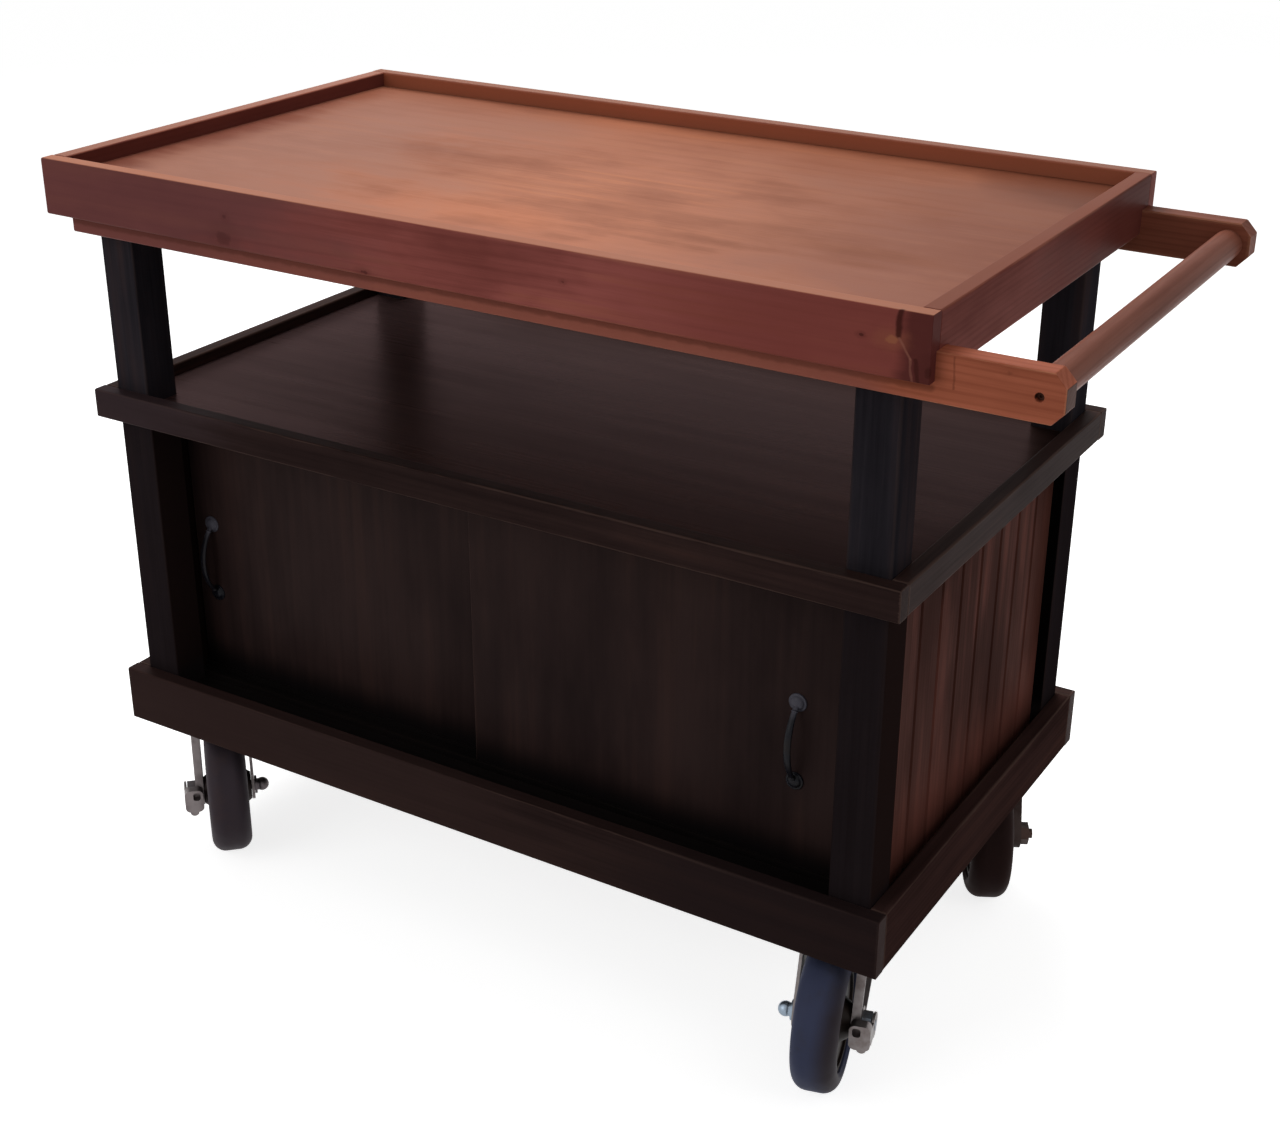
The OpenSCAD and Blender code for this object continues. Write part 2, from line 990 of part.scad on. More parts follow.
module fork_front_right() {
    fork(1);
}

module fork_back_left() {
    fork(2);
}

module fork_back_right() {
    fork(3);
}

// Axle bolt with a rounded cap at its inner end and a hexagon nut at its outer end
module axle_bolt(i) {
    end_y = i < 2 ? pedal_out + bolt_past_pedal : nut_end + bolt_past_nut;
    at_axle(i)
        color("silver") {
            rotate([-90, 0, 0]) {
                translate([0, 0, -leg_out])
                    cylinder(d = axle_d, h = leg_out + end_y);
                translate([0, 0, -leg_out - run_gap - cap_flange])
                    cylinder(r = cap_r + cap_flange, h = cap_flange);
                translate([0, 0, -leg_out - run_gap - cap_h + cap_r])
                    cylinder(r = cap_r - cap_neck, h = cap_h - cap_r + run_gap);
                translate([0, 0, -leg_out - run_gap - cap_h + cap_r])
                    sphere(cap_r, $fn = 48);
            }
            rotate([-90, 0, 0])
                translate([0, 0, nut_y])
                    difference() {
                        cylinder(d = nut_af / cos(30), h = nut_h, $fn = 6);
                        translate([0, 0, -cut])
                            cylinder(d = axle_d + 2 * bore_play, h = nut_h + 2 * cut);
                    }
        }
}

module axle_bolt_front_left() {
    axle_bolt(0);
}

module axle_bolt_front_right() {
    axle_bolt(1);
}

module axle_bolt_back_left() {
    axle_bolt(2);
}

module axle_bolt_back_right() {
    axle_bolt(3);
}

// Turns an outline of radius along X and width along Y round the axle
module round_axle() {
    rotate([90, 0, 0])
        rotate_extrude($fn = 96)
            children();
}

// Wheel core in one piece: a rim, a web that almost fills it and a tapered boss on each side
module wheel_hub(i) {
    bore = axle_d / 2 + bore_play;
    boss = fork_gap - 2 * run_gap;
    at_axle(i)
        color("#2b2f38")
            round_axle() {
                polygon([
                    [bore, -boss / 2], [hub_boss_r, -boss / 2], [hub_cone_r, -hub_web_t / 2],
                    [hub_cone_r, hub_web_t / 2], [hub_boss_r, boss / 2], [bore, boss / 2]
                ]);
                translate([bore, -hub_web_t / 2])
                    square([hub_r - hub_rim_t - bore, hub_web_t]);
                translate([hub_r - hub_rim_t, -hub_rim_w / 2])
                    square([hub_rim_t, hub_rim_w]);
            }
}

module wheel_hub_front_left() {
    wheel_hub(0);
}

module wheel_hub_front_right() {
    wheel_hub(1);
}

module wheel_hub_back_left() {
    wheel_hub(2);
}

module wheel_hub_back_right() {
    wheel_hub(3);
}

// Solid tyre with round shoulders
module tyre(i) {
    at_axle(i)
        color("#3a4150")
            round_axle() {
                difference() {
                    translate([hub_r, -wheel_w / 2])
                        square([wheel_r - tread_r - hub_r, wheel_w]);
                    for (s = [-1, 1])
                        translate([hub_r, s * wheel_w / 2])
                            rotate(45)
                                square((wheel_w - tyre_seat_w) / sqrt(2), center = true);
                }
                translate([wheel_r - tread_r - cut, tread_r - wheel_w / 2])
                    square([tread_r + cut, wheel_w - 2 * tread_r]);
                intersection() {
                    translate([wheel_r - tread_r - cut, -wheel_w / 2])
                        square([tread_r + cut, wheel_w]);
                    for (s = [-1, 1])
                        translate([wheel_r - tread_r, s * (wheel_w / 2 - tread_r)])
                            circle(tread_r, $fn = 64);
                }
            }
}

module tyre_front_left() {
    tyre(0);
}

module tyre_front_right() {
    tyre(1);
}

module tyre_back_left() {
    tyre(2);
}

module tyre_back_right() {
    tyre(3);
}

// Foot pedal of a brake: a block in front of the leg, on an arm that turns on the axle's end
module brake_pedal(i) {
    at_axle(i)
        color("#c9c9cc")
            difference() {
                union() {
                    translate([0, pedal_out - pedal_t, 0])
                        along_y(pedal_t) {
                            circle(pedal_boss_r);
                            translate([0, -pedal_arm_h / 2])
                                square([pedal_start + pedal_t, pedal_arm_h]);
                        }
                    translate([pedal_start, 0, 0])
                        along_x(pedal_l - pedal_start)
                            translate([pedal_in, pedal_low])
                                rounded(pedal_w, pedal_h, pedal_corner_r);
                    translate([pedal_start, 0, 0])
                        along_x(pedal_t)
                            pedal_tongue();
                }
                translate([pedal_start + pedal_t, 0, 0])
                    along_x(pedal_l - pedal_start)
                        translate([pedal_in + pedal_wall, pedal_rise - pedal_wall - pocket_h])
                            rounded(pocket_w, pocket_h, pedal_corner_r - pedal_wall);
                rotate([-90, 0, 0])
                    cylinder(d = axle_d + 2 * bore_play, h = pedal_out + cut);
            }
}

// Outline of the tongue under a pedal, in Y and Z
module pedal_tongue() {
    r = tongue_w / 2;
    translate([tongue_y - r, pedal_low - tongue_l + r])
        square([tongue_w, tongue_l]);
    translate([tongue_y, pedal_low - tongue_l + r])
        circle(r);
}

module brake_pedal_front_left() {
    brake_pedal(0);
}

module brake_pedal_front_right() {
    brake_pedal(1);
}

tray_rim_front();
tray_rim_back();
tray_rim_left();
tray_rim_right();
tray_panel();
handle_rail_front();
handle_rail_back();
apron_left();
apron_right();
push_bar();
push_bar_screws();
post_front_left();
post_front_right();
post_back_left();
post_back_right();
shelf_rim_front();
shelf_rim_back();
shelf_rim_left();
shelf_rim_right();
shelf_panel();
base_rim_front();
base_rim_back();
base_rim_left();
base_rim_right();
base_panel();
side_panel_left();
side_panel_right();
back_panel();
door_track_top();
door_track_bottom();
door_left();
door_right();
door_pull_left();
door_pull_right();
pull_screws_left();
pull_screws_right();
caster_plates();
caster_screws();
kingpins();
swivel_balls();
fork_front_left();
fork_front_right();
fork_back_left();
fork_back_right();
axle_bolt_front_left();
axle_bolt_front_right();
axle_bolt_back_left();
axle_bolt_back_right();
wheel_hub_front_left();
wheel_hub_front_right();
wheel_hub_back_left();
wheel_hub_back_right();
tyre_front_left();
tyre_front_right();
tyre_back_left();
tyre_back_right();
brake_pedal_front_left();
brake_pedal_front_right();
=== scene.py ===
"""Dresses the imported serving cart: wood, iron, zinc and rubber finishes, rounded boards and forged pulls."""

from __future__ import annotations

import json
import logging
import math
from dataclasses import dataclass, replace
from enum import Enum
from typing import Union

import bmesh
import bpy
from mathutils import Matrix, Vector


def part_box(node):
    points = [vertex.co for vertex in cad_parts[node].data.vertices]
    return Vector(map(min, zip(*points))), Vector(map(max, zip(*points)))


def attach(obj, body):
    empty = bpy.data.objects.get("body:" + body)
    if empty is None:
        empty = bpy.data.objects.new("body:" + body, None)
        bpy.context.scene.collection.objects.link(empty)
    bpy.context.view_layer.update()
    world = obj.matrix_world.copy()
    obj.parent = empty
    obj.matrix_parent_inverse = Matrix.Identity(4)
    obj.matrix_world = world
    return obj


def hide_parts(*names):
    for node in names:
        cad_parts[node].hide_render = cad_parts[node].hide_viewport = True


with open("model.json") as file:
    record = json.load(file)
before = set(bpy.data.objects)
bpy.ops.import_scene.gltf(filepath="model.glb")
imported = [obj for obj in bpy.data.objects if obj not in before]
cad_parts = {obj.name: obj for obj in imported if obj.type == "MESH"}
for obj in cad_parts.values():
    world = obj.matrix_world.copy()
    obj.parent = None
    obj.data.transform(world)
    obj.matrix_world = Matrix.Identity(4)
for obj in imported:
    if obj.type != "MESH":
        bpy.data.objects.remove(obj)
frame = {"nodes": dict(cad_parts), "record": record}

log = logging.getLogger("serving_cart")

Colour = tuple[float, float, float]
Socket = bpy.types.NodeSocket
Value = Union[float, Socket]

MM = 0.001
MERGE = 0.01 * MM


class Along(Enum):
    """The direction of a board's grain, as an index of its axis."""

    X = 0
    Y = 1
    Z = 2


class Graph:
    """Builds the node tree of a material or the world in a few words."""

    def __init__(self, owner: bpy.types.Material | bpy.types.World) -> None:
        """Empties the node tree.

        Args:
            owner: the material or world that it belongs to.
        """
        owner.use_nodes = True
        self.owner = owner
        self.tree = owner.node_tree
        self.tree.nodes.clear()

    @classmethod
    def of_material(cls, name: str) -> Graph:
        """Starts an empty material.

        Args:
            name: name of the material.

        Returns:
            Its graph.
        """
        return cls(bpy.data.materials.new(name))

    def node(self, kind: str, inputs: dict[str | int, object] | None = None,
             **settings: object) -> bpy.types.Node:
        """Adds a node.

        Args:
            kind: type name of the node, without its ShaderNode prefix.
            inputs: values or sockets for its inputs.
            settings: values of its own settings.

        Returns:
            The new node.
        """
        made = self.tree.nodes.new("ShaderNode" + kind)
        for key, value in settings.items():
            setattr(made, key, value)
        for key, value in (inputs or {}).items():
            if isinstance(value, bpy.types.NodeSocket):
                self.tree.links.new(value, made.inputs[key])
            else:
                made.inputs[key].default_value = value
        return made

    def maths(self, operation: str, a: Value, b: Value = 0.0, clamp: bool = False) -> Socket:
        """Joins two numbers by a Math node.

        Args:
            operation: the Math node's operation.
            a: first number or socket.
            b: second number or socket.
            clamp: whether the result stays from 0 to 1.

        Returns:
            The result's socket.
        """
        return self.node("Math", {0: a, 1: b}, operation=operation, use_clamp=clamp).outputs[0]

    def ramp(self, value: Value, low: float, high: float, to_low: float = 0.0,
             to_high: float = 1.0) -> Socket:
        """Maps a number smoothly from one range to another.

        Args:
            value: the number or socket.
            low: value that gives to_low.
            high: value that gives to_high.
            to_low: result at low.
            to_high: result at high.

        Returns:
            The result's socket.
        """
        inputs = {"Value": value, "From Min": low, "From Max": high, "To Min": to_low, "To Max": to_high}
        return self.node("MapRange", inputs, interpolation_type="SMOOTHSTEP").outputs["Result"]

    def blend(self, factor: Value, a: object, b: object) -> Socket:
        """Mixes two colours.

        Args:
            factor: share of the second colour.
            a: first colour or socket.
            b: second colour or socket.

        Returns:
            The mixed colour's socket.
        """
        made = self.node("Mix", data_type="RGBA")
        for index, value in ((0, factor), (6, a), (7, b)):
            if isinstance(value, bpy.types.NodeSocket):
                self.tree.links.new(value, made.inputs[index])
            elif isinstance(value, tuple):
                made.inputs[index].default_value = (*value, 1.0)
            else:
                made.inputs[index].default_value = value
        return made.outputs[2]

    def noise(self, vector: Socket, scale: float, detail: float = 4.0, rough: float = 0.55) -> Socket:
        """Adds a noise texture.

        Args:
            vector: coordinates.
            scale: its scale.
            detail: its octaves.
            rough: weight of the fine octaves.

        Returns:
            The noise's value socket.
        """
        inputs = {"Vector": vector, "Scale": scale, "Detail": detail, "Roughness": rough}
        return self.node("TexNoise", inputs).outputs["Fac"]

    def place(self, scale: Colour, shift: Colour) -> Socket:
        """Gives Object coordinates, moved and then scaled.

        Args:
            scale: factor on each axis.
            shift: move of the pattern in metres.

        Returns:
            The coordinates' socket.
        """
        coords = self.node("TexCoord").outputs["Object"]
        moved = self.node("Mapping", {"Vector": coords, "Location": shift})
        return self.node("Mapping", {"Vector": moved.outputs[0], "Scale": scale}).outputs[0]

    def place_on(self, axis: int) -> Socket:
        """Gives the place along one axis in the part's frame, in metres."""
        return self.node("SeparateXYZ", {0: self.node("TexCoord").outputs["Object"]}).outputs[axis]

    def faded(self, colour: Socket, fade: Fade | None) -> Socket:
        """Lets a colour go over to another one along an axis.

        Args:
            colour: the first colour.
            fade: where it changes and into what, or nothing.

        Returns:
            The changed colour's socket.
        """
        if fade is None:
            return colour
        share = self.ramp(self.place_on(fade.axis), fade.start, fade.end, 0.0, fade.share)
        return self.blend(share, colour, fade.colour)

    def finish(self, colour: Socket, rough: Value, height: Socket | None = None, depth: float = 0.0,
               metallic: float = 0.0, specular: float = 0.5,
               varnish: Varnish | None = None) -> bpy.types.Material:
        """Ends the tree in a Principled shader.

        Args:
            colour: base colour socket.
            rough: roughness.
            height: height socket of the bump.
            depth: depth of the bump in metres.
            metallic: metallic share.
            specular: specular level.
            varnish: a tinted clear coat, or nothing.

        Returns:
            The material.
        """
        shader = self.node("BsdfPrincipled", {"Base Color": colour, "Roughness": rough, "Metallic": metallic,
                                              "Specular IOR Level": specular})
        if varnish is not None:
            shader.inputs["Coat Weight"].default_value = varnish.weight
            shader.inputs["Coat Roughness"].default_value = varnish.rough
            shader.inputs["Coat IOR"].default_value = varnish.ior
            shader.inputs["Coat Tint"].default_value = (*varnish.tint, 1.0)
        if height is not None:
            bump = self.node("Bump", {"Height": height, "Strength": 1.0, "Distance": depth})
            self.tree.links.new(bump.outputs[0], shader.inputs["Normal"])
        out = self.node("OutputMaterial")
        self.tree.links.new(shader.outputs[0], out.inputs["Surface"])
        return self.owner


@dataclass(frozen=True)
class Varnish:
    """A thin brown varnish on dark paint, which tints its shine more than it adds to it."""

    tint: Colour
    weight: float = 0.35
    rough: float = 0.5
    ior: float = 1.02


@dataclass(frozen=True)
class Knot:
    """A knot or a stain on a board's face, in metres in the part's frame."""

    place: Colour
    size: float
    stretch: float = 1.6
    depth: float = 0.8
    colour: Colour | None = None


@dataclass(frozen=True)
class CrackAndShadowLine:
    """A thin line on a board from one place to another, in metres in the part's frame: mostly dark splits in the
    wood, and under the tray rim a painted shadow line.
    """

    start: Colour
    end: Colour
    width: float = 1.2 * MM
    depth: float = 0.75
    colour: Colour | None = None


@dataclass(frozen=True)
class Shade:
    """Another colour on the faces that look along one direction, over a range of heights; most are painted light
    and painted shade, and on the front arm's end it is the end grain's darker stain.
    """

    axis: int
    sign: float
    low: float
    high: float
    strength: float = 0.85
    soft: float = 10 * MM
    colour: Colour | None = None


@dataclass(frozen=True)
class Fade:
    """A finish that goes over to another colour along an axis, in metres in the part's frame."""

    axis: int
    start: float
    end: float
    colour: Colour
    share: float = 0.7


@dataclass(frozen=True)
class Marks:
    """What a single board has beyond its finish."""

    knots: tuple[Knot, ...] = ()
    crack_and_shadow_lines: tuple[CrackAndShadowLine, ...] = ()
    shades: tuple[Shade, ...] = ()
    fades: tuple[Fade, ...] = ()


@dataclass(frozen=True)
class WoodFinish:
    """A stained or painted board, whose grain runs along one axis and whose edges take another colour, mostly
    where they are rubbed.
    """

    name: str
    dark: Colour
    light: Colour
    # Colour of the edges: rubbed stain and paint on most boards, a near-black line round the shelf floor.
    edge_colour: Colour
    rub: Colour = (0.07, 0.034, 0.022)
    rub_share: float = 0.0
    rings: float = 0.2
    ring_width: float = 6 * MM
    streaks: float = 0.8
    clouds: float = 1.0
    cloud_squash: float = 0.3
    fibres: float = 0.4
    mottle: float = 0.5
    gloss: float = 0.42
    specular: float = 0.05
    edge_share: float = 0.6
    wear_width: float = 3.5 * MM
    edged_ends: bool = True
    relief: float = 0.1 * MM
    # Also the default colour of a shade; on the doors it paints the shade low on their fronts.
    grime_and_shade: Colour = (0.004, 0.004, 0.0045)
    grime_width: float = 0.0
    varnish: Varnish | None = None

    def material(self, node: str, along: Along, marks: Marks = Marks()) -> bpy.types.Material:
        """Makes the finish for one board.

        Args:
            node: the CAD node that the board stands for, whose box gives the edges that take the edge colour.
            along: direction of the grain.
            marks: knots, split and shadow lines, shades and fades of this board.

        Returns:
            The material.
        """
        graph = Graph.of_material(f"{self.name}_{node}")
        low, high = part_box(node)
        seed = tuple(0.37 * (index + 1) * sum(low) * 10 for index in range(3))
        coords = graph.place(self.squashed(along, 0.1), seed)
        drawn = graph.place(self.squashed(along, 0.03), seed)
        fibres = graph.noise(drawn, 420, 5, 0.7)
        streaks = graph.noise(drawn, 55, 4, 0.6)
        clouds = graph.noise(graph.place(self.squashed(along, self.cloud_squash), seed), 9, 4, 0.6)
        rings = self.ring_pattern(graph, coords, along)
        mottle = graph.noise(graph.place(self.squashed(along, 0.6), seed), 3.6, 3, 0.5)
        tone: Value = 0.5
        for part, middle, weight in ((rings, 0.35, -self.rings), (streaks, 0.5, self.streaks),
                                     (clouds, 0.5, self.clouds), (fibres, 0.5, self.fibres),
                                     (mottle, 0.5, self.mottle)):
            scaled = graph.maths("MULTIPLY", graph.maths("SUBTRACT", part, middle), weight)
            tone = graph.maths("ADD", scaled, tone)
        colour = graph.blend(graph.ramp(tone, 0.0, 1.0), self.dark, self.light)
        if self.rub_share > 0:
            patch = graph.maths("MULTIPLY", graph.ramp(streaks, 0.45, 0.66), graph.ramp(clouds, 0.42, 0.62))
            colour = graph.blend(graph.maths("MULTIPLY", patch, self.rub_share), colour, self.rub)
        gaps = self.edge_gaps(graph, low, high)
        if self.grime_width > 0:
            colour = graph.blend(self.grime_mask(graph, gaps[along.value], clouds), colour, self.grime_and_shade)
        if not self.edged_ends:
            gaps[along.value] = graph.maths("ADD", gaps[along.value], 1.0)
        edge = self.edge_mask(graph, gaps, clouds, fibres)
        colour = graph.blend(graph.maths("MULTIPLY", edge, self.edge_share), colour, self.edge_colour)
        for fade in marks.fades:
            colour = graph.blend(self.fade_mask(graph, fade, clouds, streaks), colour, fade.colour)
        for shade in marks.shades:
            colour = graph.blend(self.shade_mask(graph, shade), colour, shade.colour or self.grime_and_shade)
        deep = tuple(c * 0.25 for c in self.dark)
        for knot in marks.knots:
            colour = graph.blend(self.knot_mask(graph, knot, along), colour, knot.colour or deep)
        for crack_or_shadow in marks.crack_and_shadow_lines:
            colour = graph.blend(self.crack_and_shadow_line_mask(graph, crack_or_shadow), colour, crack_or_shadow.colour or deep)
        rough = graph.ramp(tone, 0.1, 0.9, self.gloss + 0.08, self.gloss - 0.05)
        height = graph.maths("ADD", graph.maths("MULTIPLY", fibres, 0.7), graph.maths("MULTIPLY", streaks, 0.3))
        return graph.finish(colour, rough, height, self.relief, specular=self.specular, varnish=self.varnish)

    @staticmethod
    def squashed(along: Along, share: float) -> Colour:
        """Scale that draws a pattern out along the grain."""
        scale = [1.0, 1.0, 1.0]
        scale[along.value] = share
        return tuple(scale)

    def ring_pattern(self, graph: Graph, coords: Socket, along: Along) -> Socket:
        """Growth rings of a plank sawn beside the heart.

        Args:
            graph: the tree.
            coords: coordinates squashed along the grain.
            along: direction of the grain.

        Returns:
            A socket from 0 in the pale wood to 1 in the dark lines.
        """
        shift = [0.21, 0.17, 0.19]
        shift[along.value] = 0.0
        turn = [0.0, 0.0, 0.0]
        turn[(along.value + 1) % 3] = 4.0
        turned = graph.node("Mapping", {"Vector": coords, "Location": tuple(shift)})
        turned.inputs["Rotation"].default_value = [math.radians(a) for a in turn]
        warp = graph.node("TexNoise", {"Vector": coords, "Scale": 7.0, "Detail": 2.0, "Roughness": 0.5})
        bent = graph.node("VectorMath", {0: warp.outputs["Color"], "Scale": 0.035}, operation="SCALE").outputs[0]
        moved = graph.node("VectorMath", {0: turned.outputs[0], 1: bent}, operation="ADD").outputs[0]
        inputs = {"Vector": moved, "Scale": 0.314 / self.ring_width, "Distortion": 1.0, "Detail": 2.0,
                  "Detail Scale": 2.0, "Detail Roughness": 0.5}
        wave = graph.node("TexWave", inputs, wave_type="RINGS", rings_direction=along.name)
        return graph.maths("POWER", wave.outputs["Fac"], 3.0)

    @staticmethod
    def knot_mask(graph: Graph, knot: Knot, along: Along) -> Socket:
        """Dark spot of one knot.

        Args:
            graph: the tree.
            knot: the knot.
            along: direction of the grain.

        Returns:
            A socket that is 1 in the knot.
        """
        coords = graph.node("TexCoord").outputs["Object"]
        moved = graph.node("VectorMath", {0: coords, 1: knot.place}, operation="SUBTRACT").outputs[0]
        scale = WoodFinish.squashed(along, 1 / knot.stretch)
        shaped = graph.node("VectorMath", {0: moved, 1: scale}, operation="MULTIPLY").outputs[0]
        far = graph.node("VectorMath", {0: shaped}, operation="LENGTH").outputs["Value"]
        uneven = graph.ramp(graph.noise(coords, 0.5 / knot.size), 0.3, 0.7, -0.3 * knot.size, 0.3 * knot.size)
        ragged = graph.maths("ADD", far, uneven)
        core = graph.ramp(ragged, knot.size, 0.3 * knot.size, 0.0, knot.depth)
        halo = graph.ramp(ragged, 2.6 * knot.size, 0.8 * knot.size, 0.0, 0.3 * knot.depth)
        return graph.maths("MAXIMUM", core, halo)

    @staticmethod
    def crack_and_shadow_line_mask(graph: Graph, crack_or_shadow: CrackAndShadowLine) -> Socket:
        """Thin wavy line of one split in the wood, or of the painted shadow line.

        Args:
            graph: the tree.
            crack_or_shadow: the split or shadow line.

        Returns:
            A socket that is 1 on the line.
        """
        way = Vector(crack_or_shadow.end) - Vector(crack_or_shadow.start)
        coords = graph.node("TexCoord").outputs["Object"]
        warp = graph.node("TexNoise", {"Vector": coords, "Scale": 70.0, "Detail": 2.0}).outputs["Color"]
        bent = graph.node("VectorMath", {0: warp, "Scale": 5 * MM}, operation="SCALE").outputs[0]
        from_start = graph.node("VectorMath", {0: coords, 1: Vector(crack_or_shadow.start) + Vector((2.5, 2.5, 2.5)) * MM},
                                operation="SUBTRACT").outputs[0]
        moved = graph.node("VectorMath", {0: from_start, 1: bent}, operation="ADD").outputs[0]
        along = graph.node("VectorMath", {0: moved, 1: way / way.length_squared}, operation="DOT_PRODUCT")
        share = graph.maths("ADD", along.outputs["Value"], 0.0, clamp=True)
        foot = graph.node("VectorMath", {0: way, "Scale": share}, operation="SCALE").outputs[0]
        off = graph.node("VectorMath", {0: moved, 1: foot}, operation="DISTANCE").outputs["Value"]
        return graph.ramp(off, crack_or_shadow.width, 0.3 * crack_or_shadow.width, 0.0, crack_or_shadow.depth)

    @staticmethod
    def shade_mask(graph: Graph, shade: Shade) -> Socket:
        """Faces that get the shade's colour.

        Args:
            graph: the tree.
            shade: direction and heights of the faces.

        Returns:
            A socket that is 1 on them.
        """
        coords = graph.node("TexCoord").outputs
        facing = graph.node("SeparateXYZ", {0: coords["Normal"]}).outputs[shade.axis]
        towards = graph.ramp(graph.maths("MULTIPLY", facing, shade.sign), 0.75, 0.98)
        height = graph.node("SeparateXYZ", {0: coords["Object"]}).outputs["Z"]
        above = graph.ramp(height, shade.low - shade.soft, shade.low + shade.soft)
        below = graph.ramp(height, shade.high + shade.soft, shade.high - shade.soft)
        both = graph.maths("MULTIPLY", above, below)
        return graph.maths("MULTIPLY", graph.maths("MULTIPLY", towards, both), shade.strength)

    @staticmethod
    def fade_mask(graph: Graph, fade: Fade, clouds: Socket, streaks: Socket) -> Socket:
        """Share of another colour along an axis, with a cloudy and streaky border.

        Args:
            graph: the tree.
            fade: the fade.
            clouds: broad noise.
            streaks: noise drawn out along the grain.

        Returns:
            A socket from 0 to the fade's share.
        """
        place = graph.place_on(fade.axis)
        reach = fade.end - fade.start
        uneven = graph.maths("ADD", graph.ramp(clouds, 0.3, 0.7, -0.35 * reach, 0.35 * reach),
                             graph.ramp(streaks, 0.3, 0.7, -0.15 * reach, 0.15 * reach))
        return graph.ramp(graph.maths("ADD", place, uneven), fade.start, fade.end, 0.0, fade.share)

    @staticmethod
    def edge_gaps(graph: Graph, low: Vector, high: Vector) -> list[Socket]:
        """Distance to the nearer end of the board's box on each axis.

        Args:
            graph: the tree.
            low: lowest corner of the board.
            high: highest corner of the board.

        Returns:
            One socket for each axis, in metres.
        """
        gaps = []
        for axis in range(3):
            place = graph.place_on(axis)
            from_low = graph.maths("SUBTRACT", place, low[axis])
            from_high = graph.maths("SUBTRACT", high[axis], place)
            gaps.append(graph.maths("MINIMUM", from_low, from_high))
        return gaps

    def grime_mask(self, graph: Graph, gap: Socket, clouds: Socket) -> Socket:
        """Dark antiquing towards the two ends of a board.

        Args:
            graph: the tree.
            gap: distance to the nearer end.
            clouds: broad noise.

        Returns:
            A socket that is 1 at the ends.
        """
        reach = graph.maths("MULTIPLY", graph.ramp(clouds, 0.3, 0.7, 0.5, 1.5), self.grime_width)
        return graph.ramp(graph.maths("DIVIDE", gap, reach), 1.0, 0.1, 0.0, 0.9)

    def edge_mask(self, graph: Graph, gaps: list[Socket], clouds: Socket, fibres: Socket) -> Socket:
        """Edges of a board that take the edge colour, where two of the three distances are small.

        Args:
            graph: the tree.
            gaps: distances to the board's box.
            clouds: broad noise.
            fibres: fine noise.

        Returns:
            A socket that is 1 on those edges.
        """
        lesser = graph.maths("MINIMUM", gaps[0], gaps[1])
        greater = graph.maths("MAXIMUM", gaps[0], gaps[1])
        second = graph.maths("MAXIMUM", lesser, graph.maths("MINIMUM", greater, gaps[2]))
        uneven = graph.maths("ADD", graph.ramp(clouds, 0.35, 0.65, 0.15, 0.9),
                             graph.ramp(fibres, 0.3, 0.7, 0.0, 0.6))
        reach = graph.maths("MULTIPLY", uneven, self.wear_width)
        return graph.ramp(graph.maths("DIVIDE", second, reach), 1.0, 0.25)


@dataclass(frozen=True)
class MetalFinish:
    """A metal surface with faint blotches, scratches and dull spots."""

    name: str
    base: Colour
    spots: Colour
    metallic: float = 1.0
    rough: float = 0.35
    grain: float = 300.0
    relief: float = 0.05 * MM
    specular: float = 0.5
    fade: Fade | None = None

    def material(self) -> bpy.types.Material:
        """Makes the finish.

        Returns:
            The material.
        """
        graph = Graph.of_material(self.name)
        coords = graph.node("TexCoord").outputs["Object"]
        fine = graph.noise(coords, self.grain, 4, 0.6)
        broad = graph.noise(coords, self.grain / 9, 4, 0.65)
        colour = graph.blend(graph.ramp(broad, 0.42, 0.72), self.base, self.spots)
        colour = graph.faded(colour, self.fade)
        rough = graph.maths("ADD", graph.ramp(broad, 0.3, 0.7, self.rough - 0.06, self.rough + 0.1),
                            graph.ramp(fine, 0.3, 0.7, -0.04, 0.04))
        return graph.finish(colour, rough, fine, self.relief, self.metallic, self.specular)


@dataclass(frozen=True)
class RubberFinish:
    """Rubber or moulded plastic with a fine texture and a little dust."""

    name: str
    base: Colour
    dust: Colour
    rough: float = 0.62
    grain: float = 900.0
    specular: float = 0.12
    fade: Fade | None = None

    def material(self) -> bpy.types.Material:
        """Makes the finish.

        Returns:
            The material.
        """
        graph = Graph.of_material(self.name)
        coords = graph.node("TexCoord").outputs["Object"]
        fine = graph.noise(coords, self.grain, 2, 0.5)
        broad = graph.noise(coords, 22, 5, 0.65)
        colour = graph.blend(graph.ramp(broad, 0.45, 0.75, 0.0, 0.6), self.base, self.dust)
        colour = graph.faded(colour, self.fade)
        rough = graph.ramp(broad, 0.3, 0.7, self.rough - 0.08, self.rough + 0.1)
        return graph.finish(colour, rough, fine, 0.05 * MM, specular=self.specular)


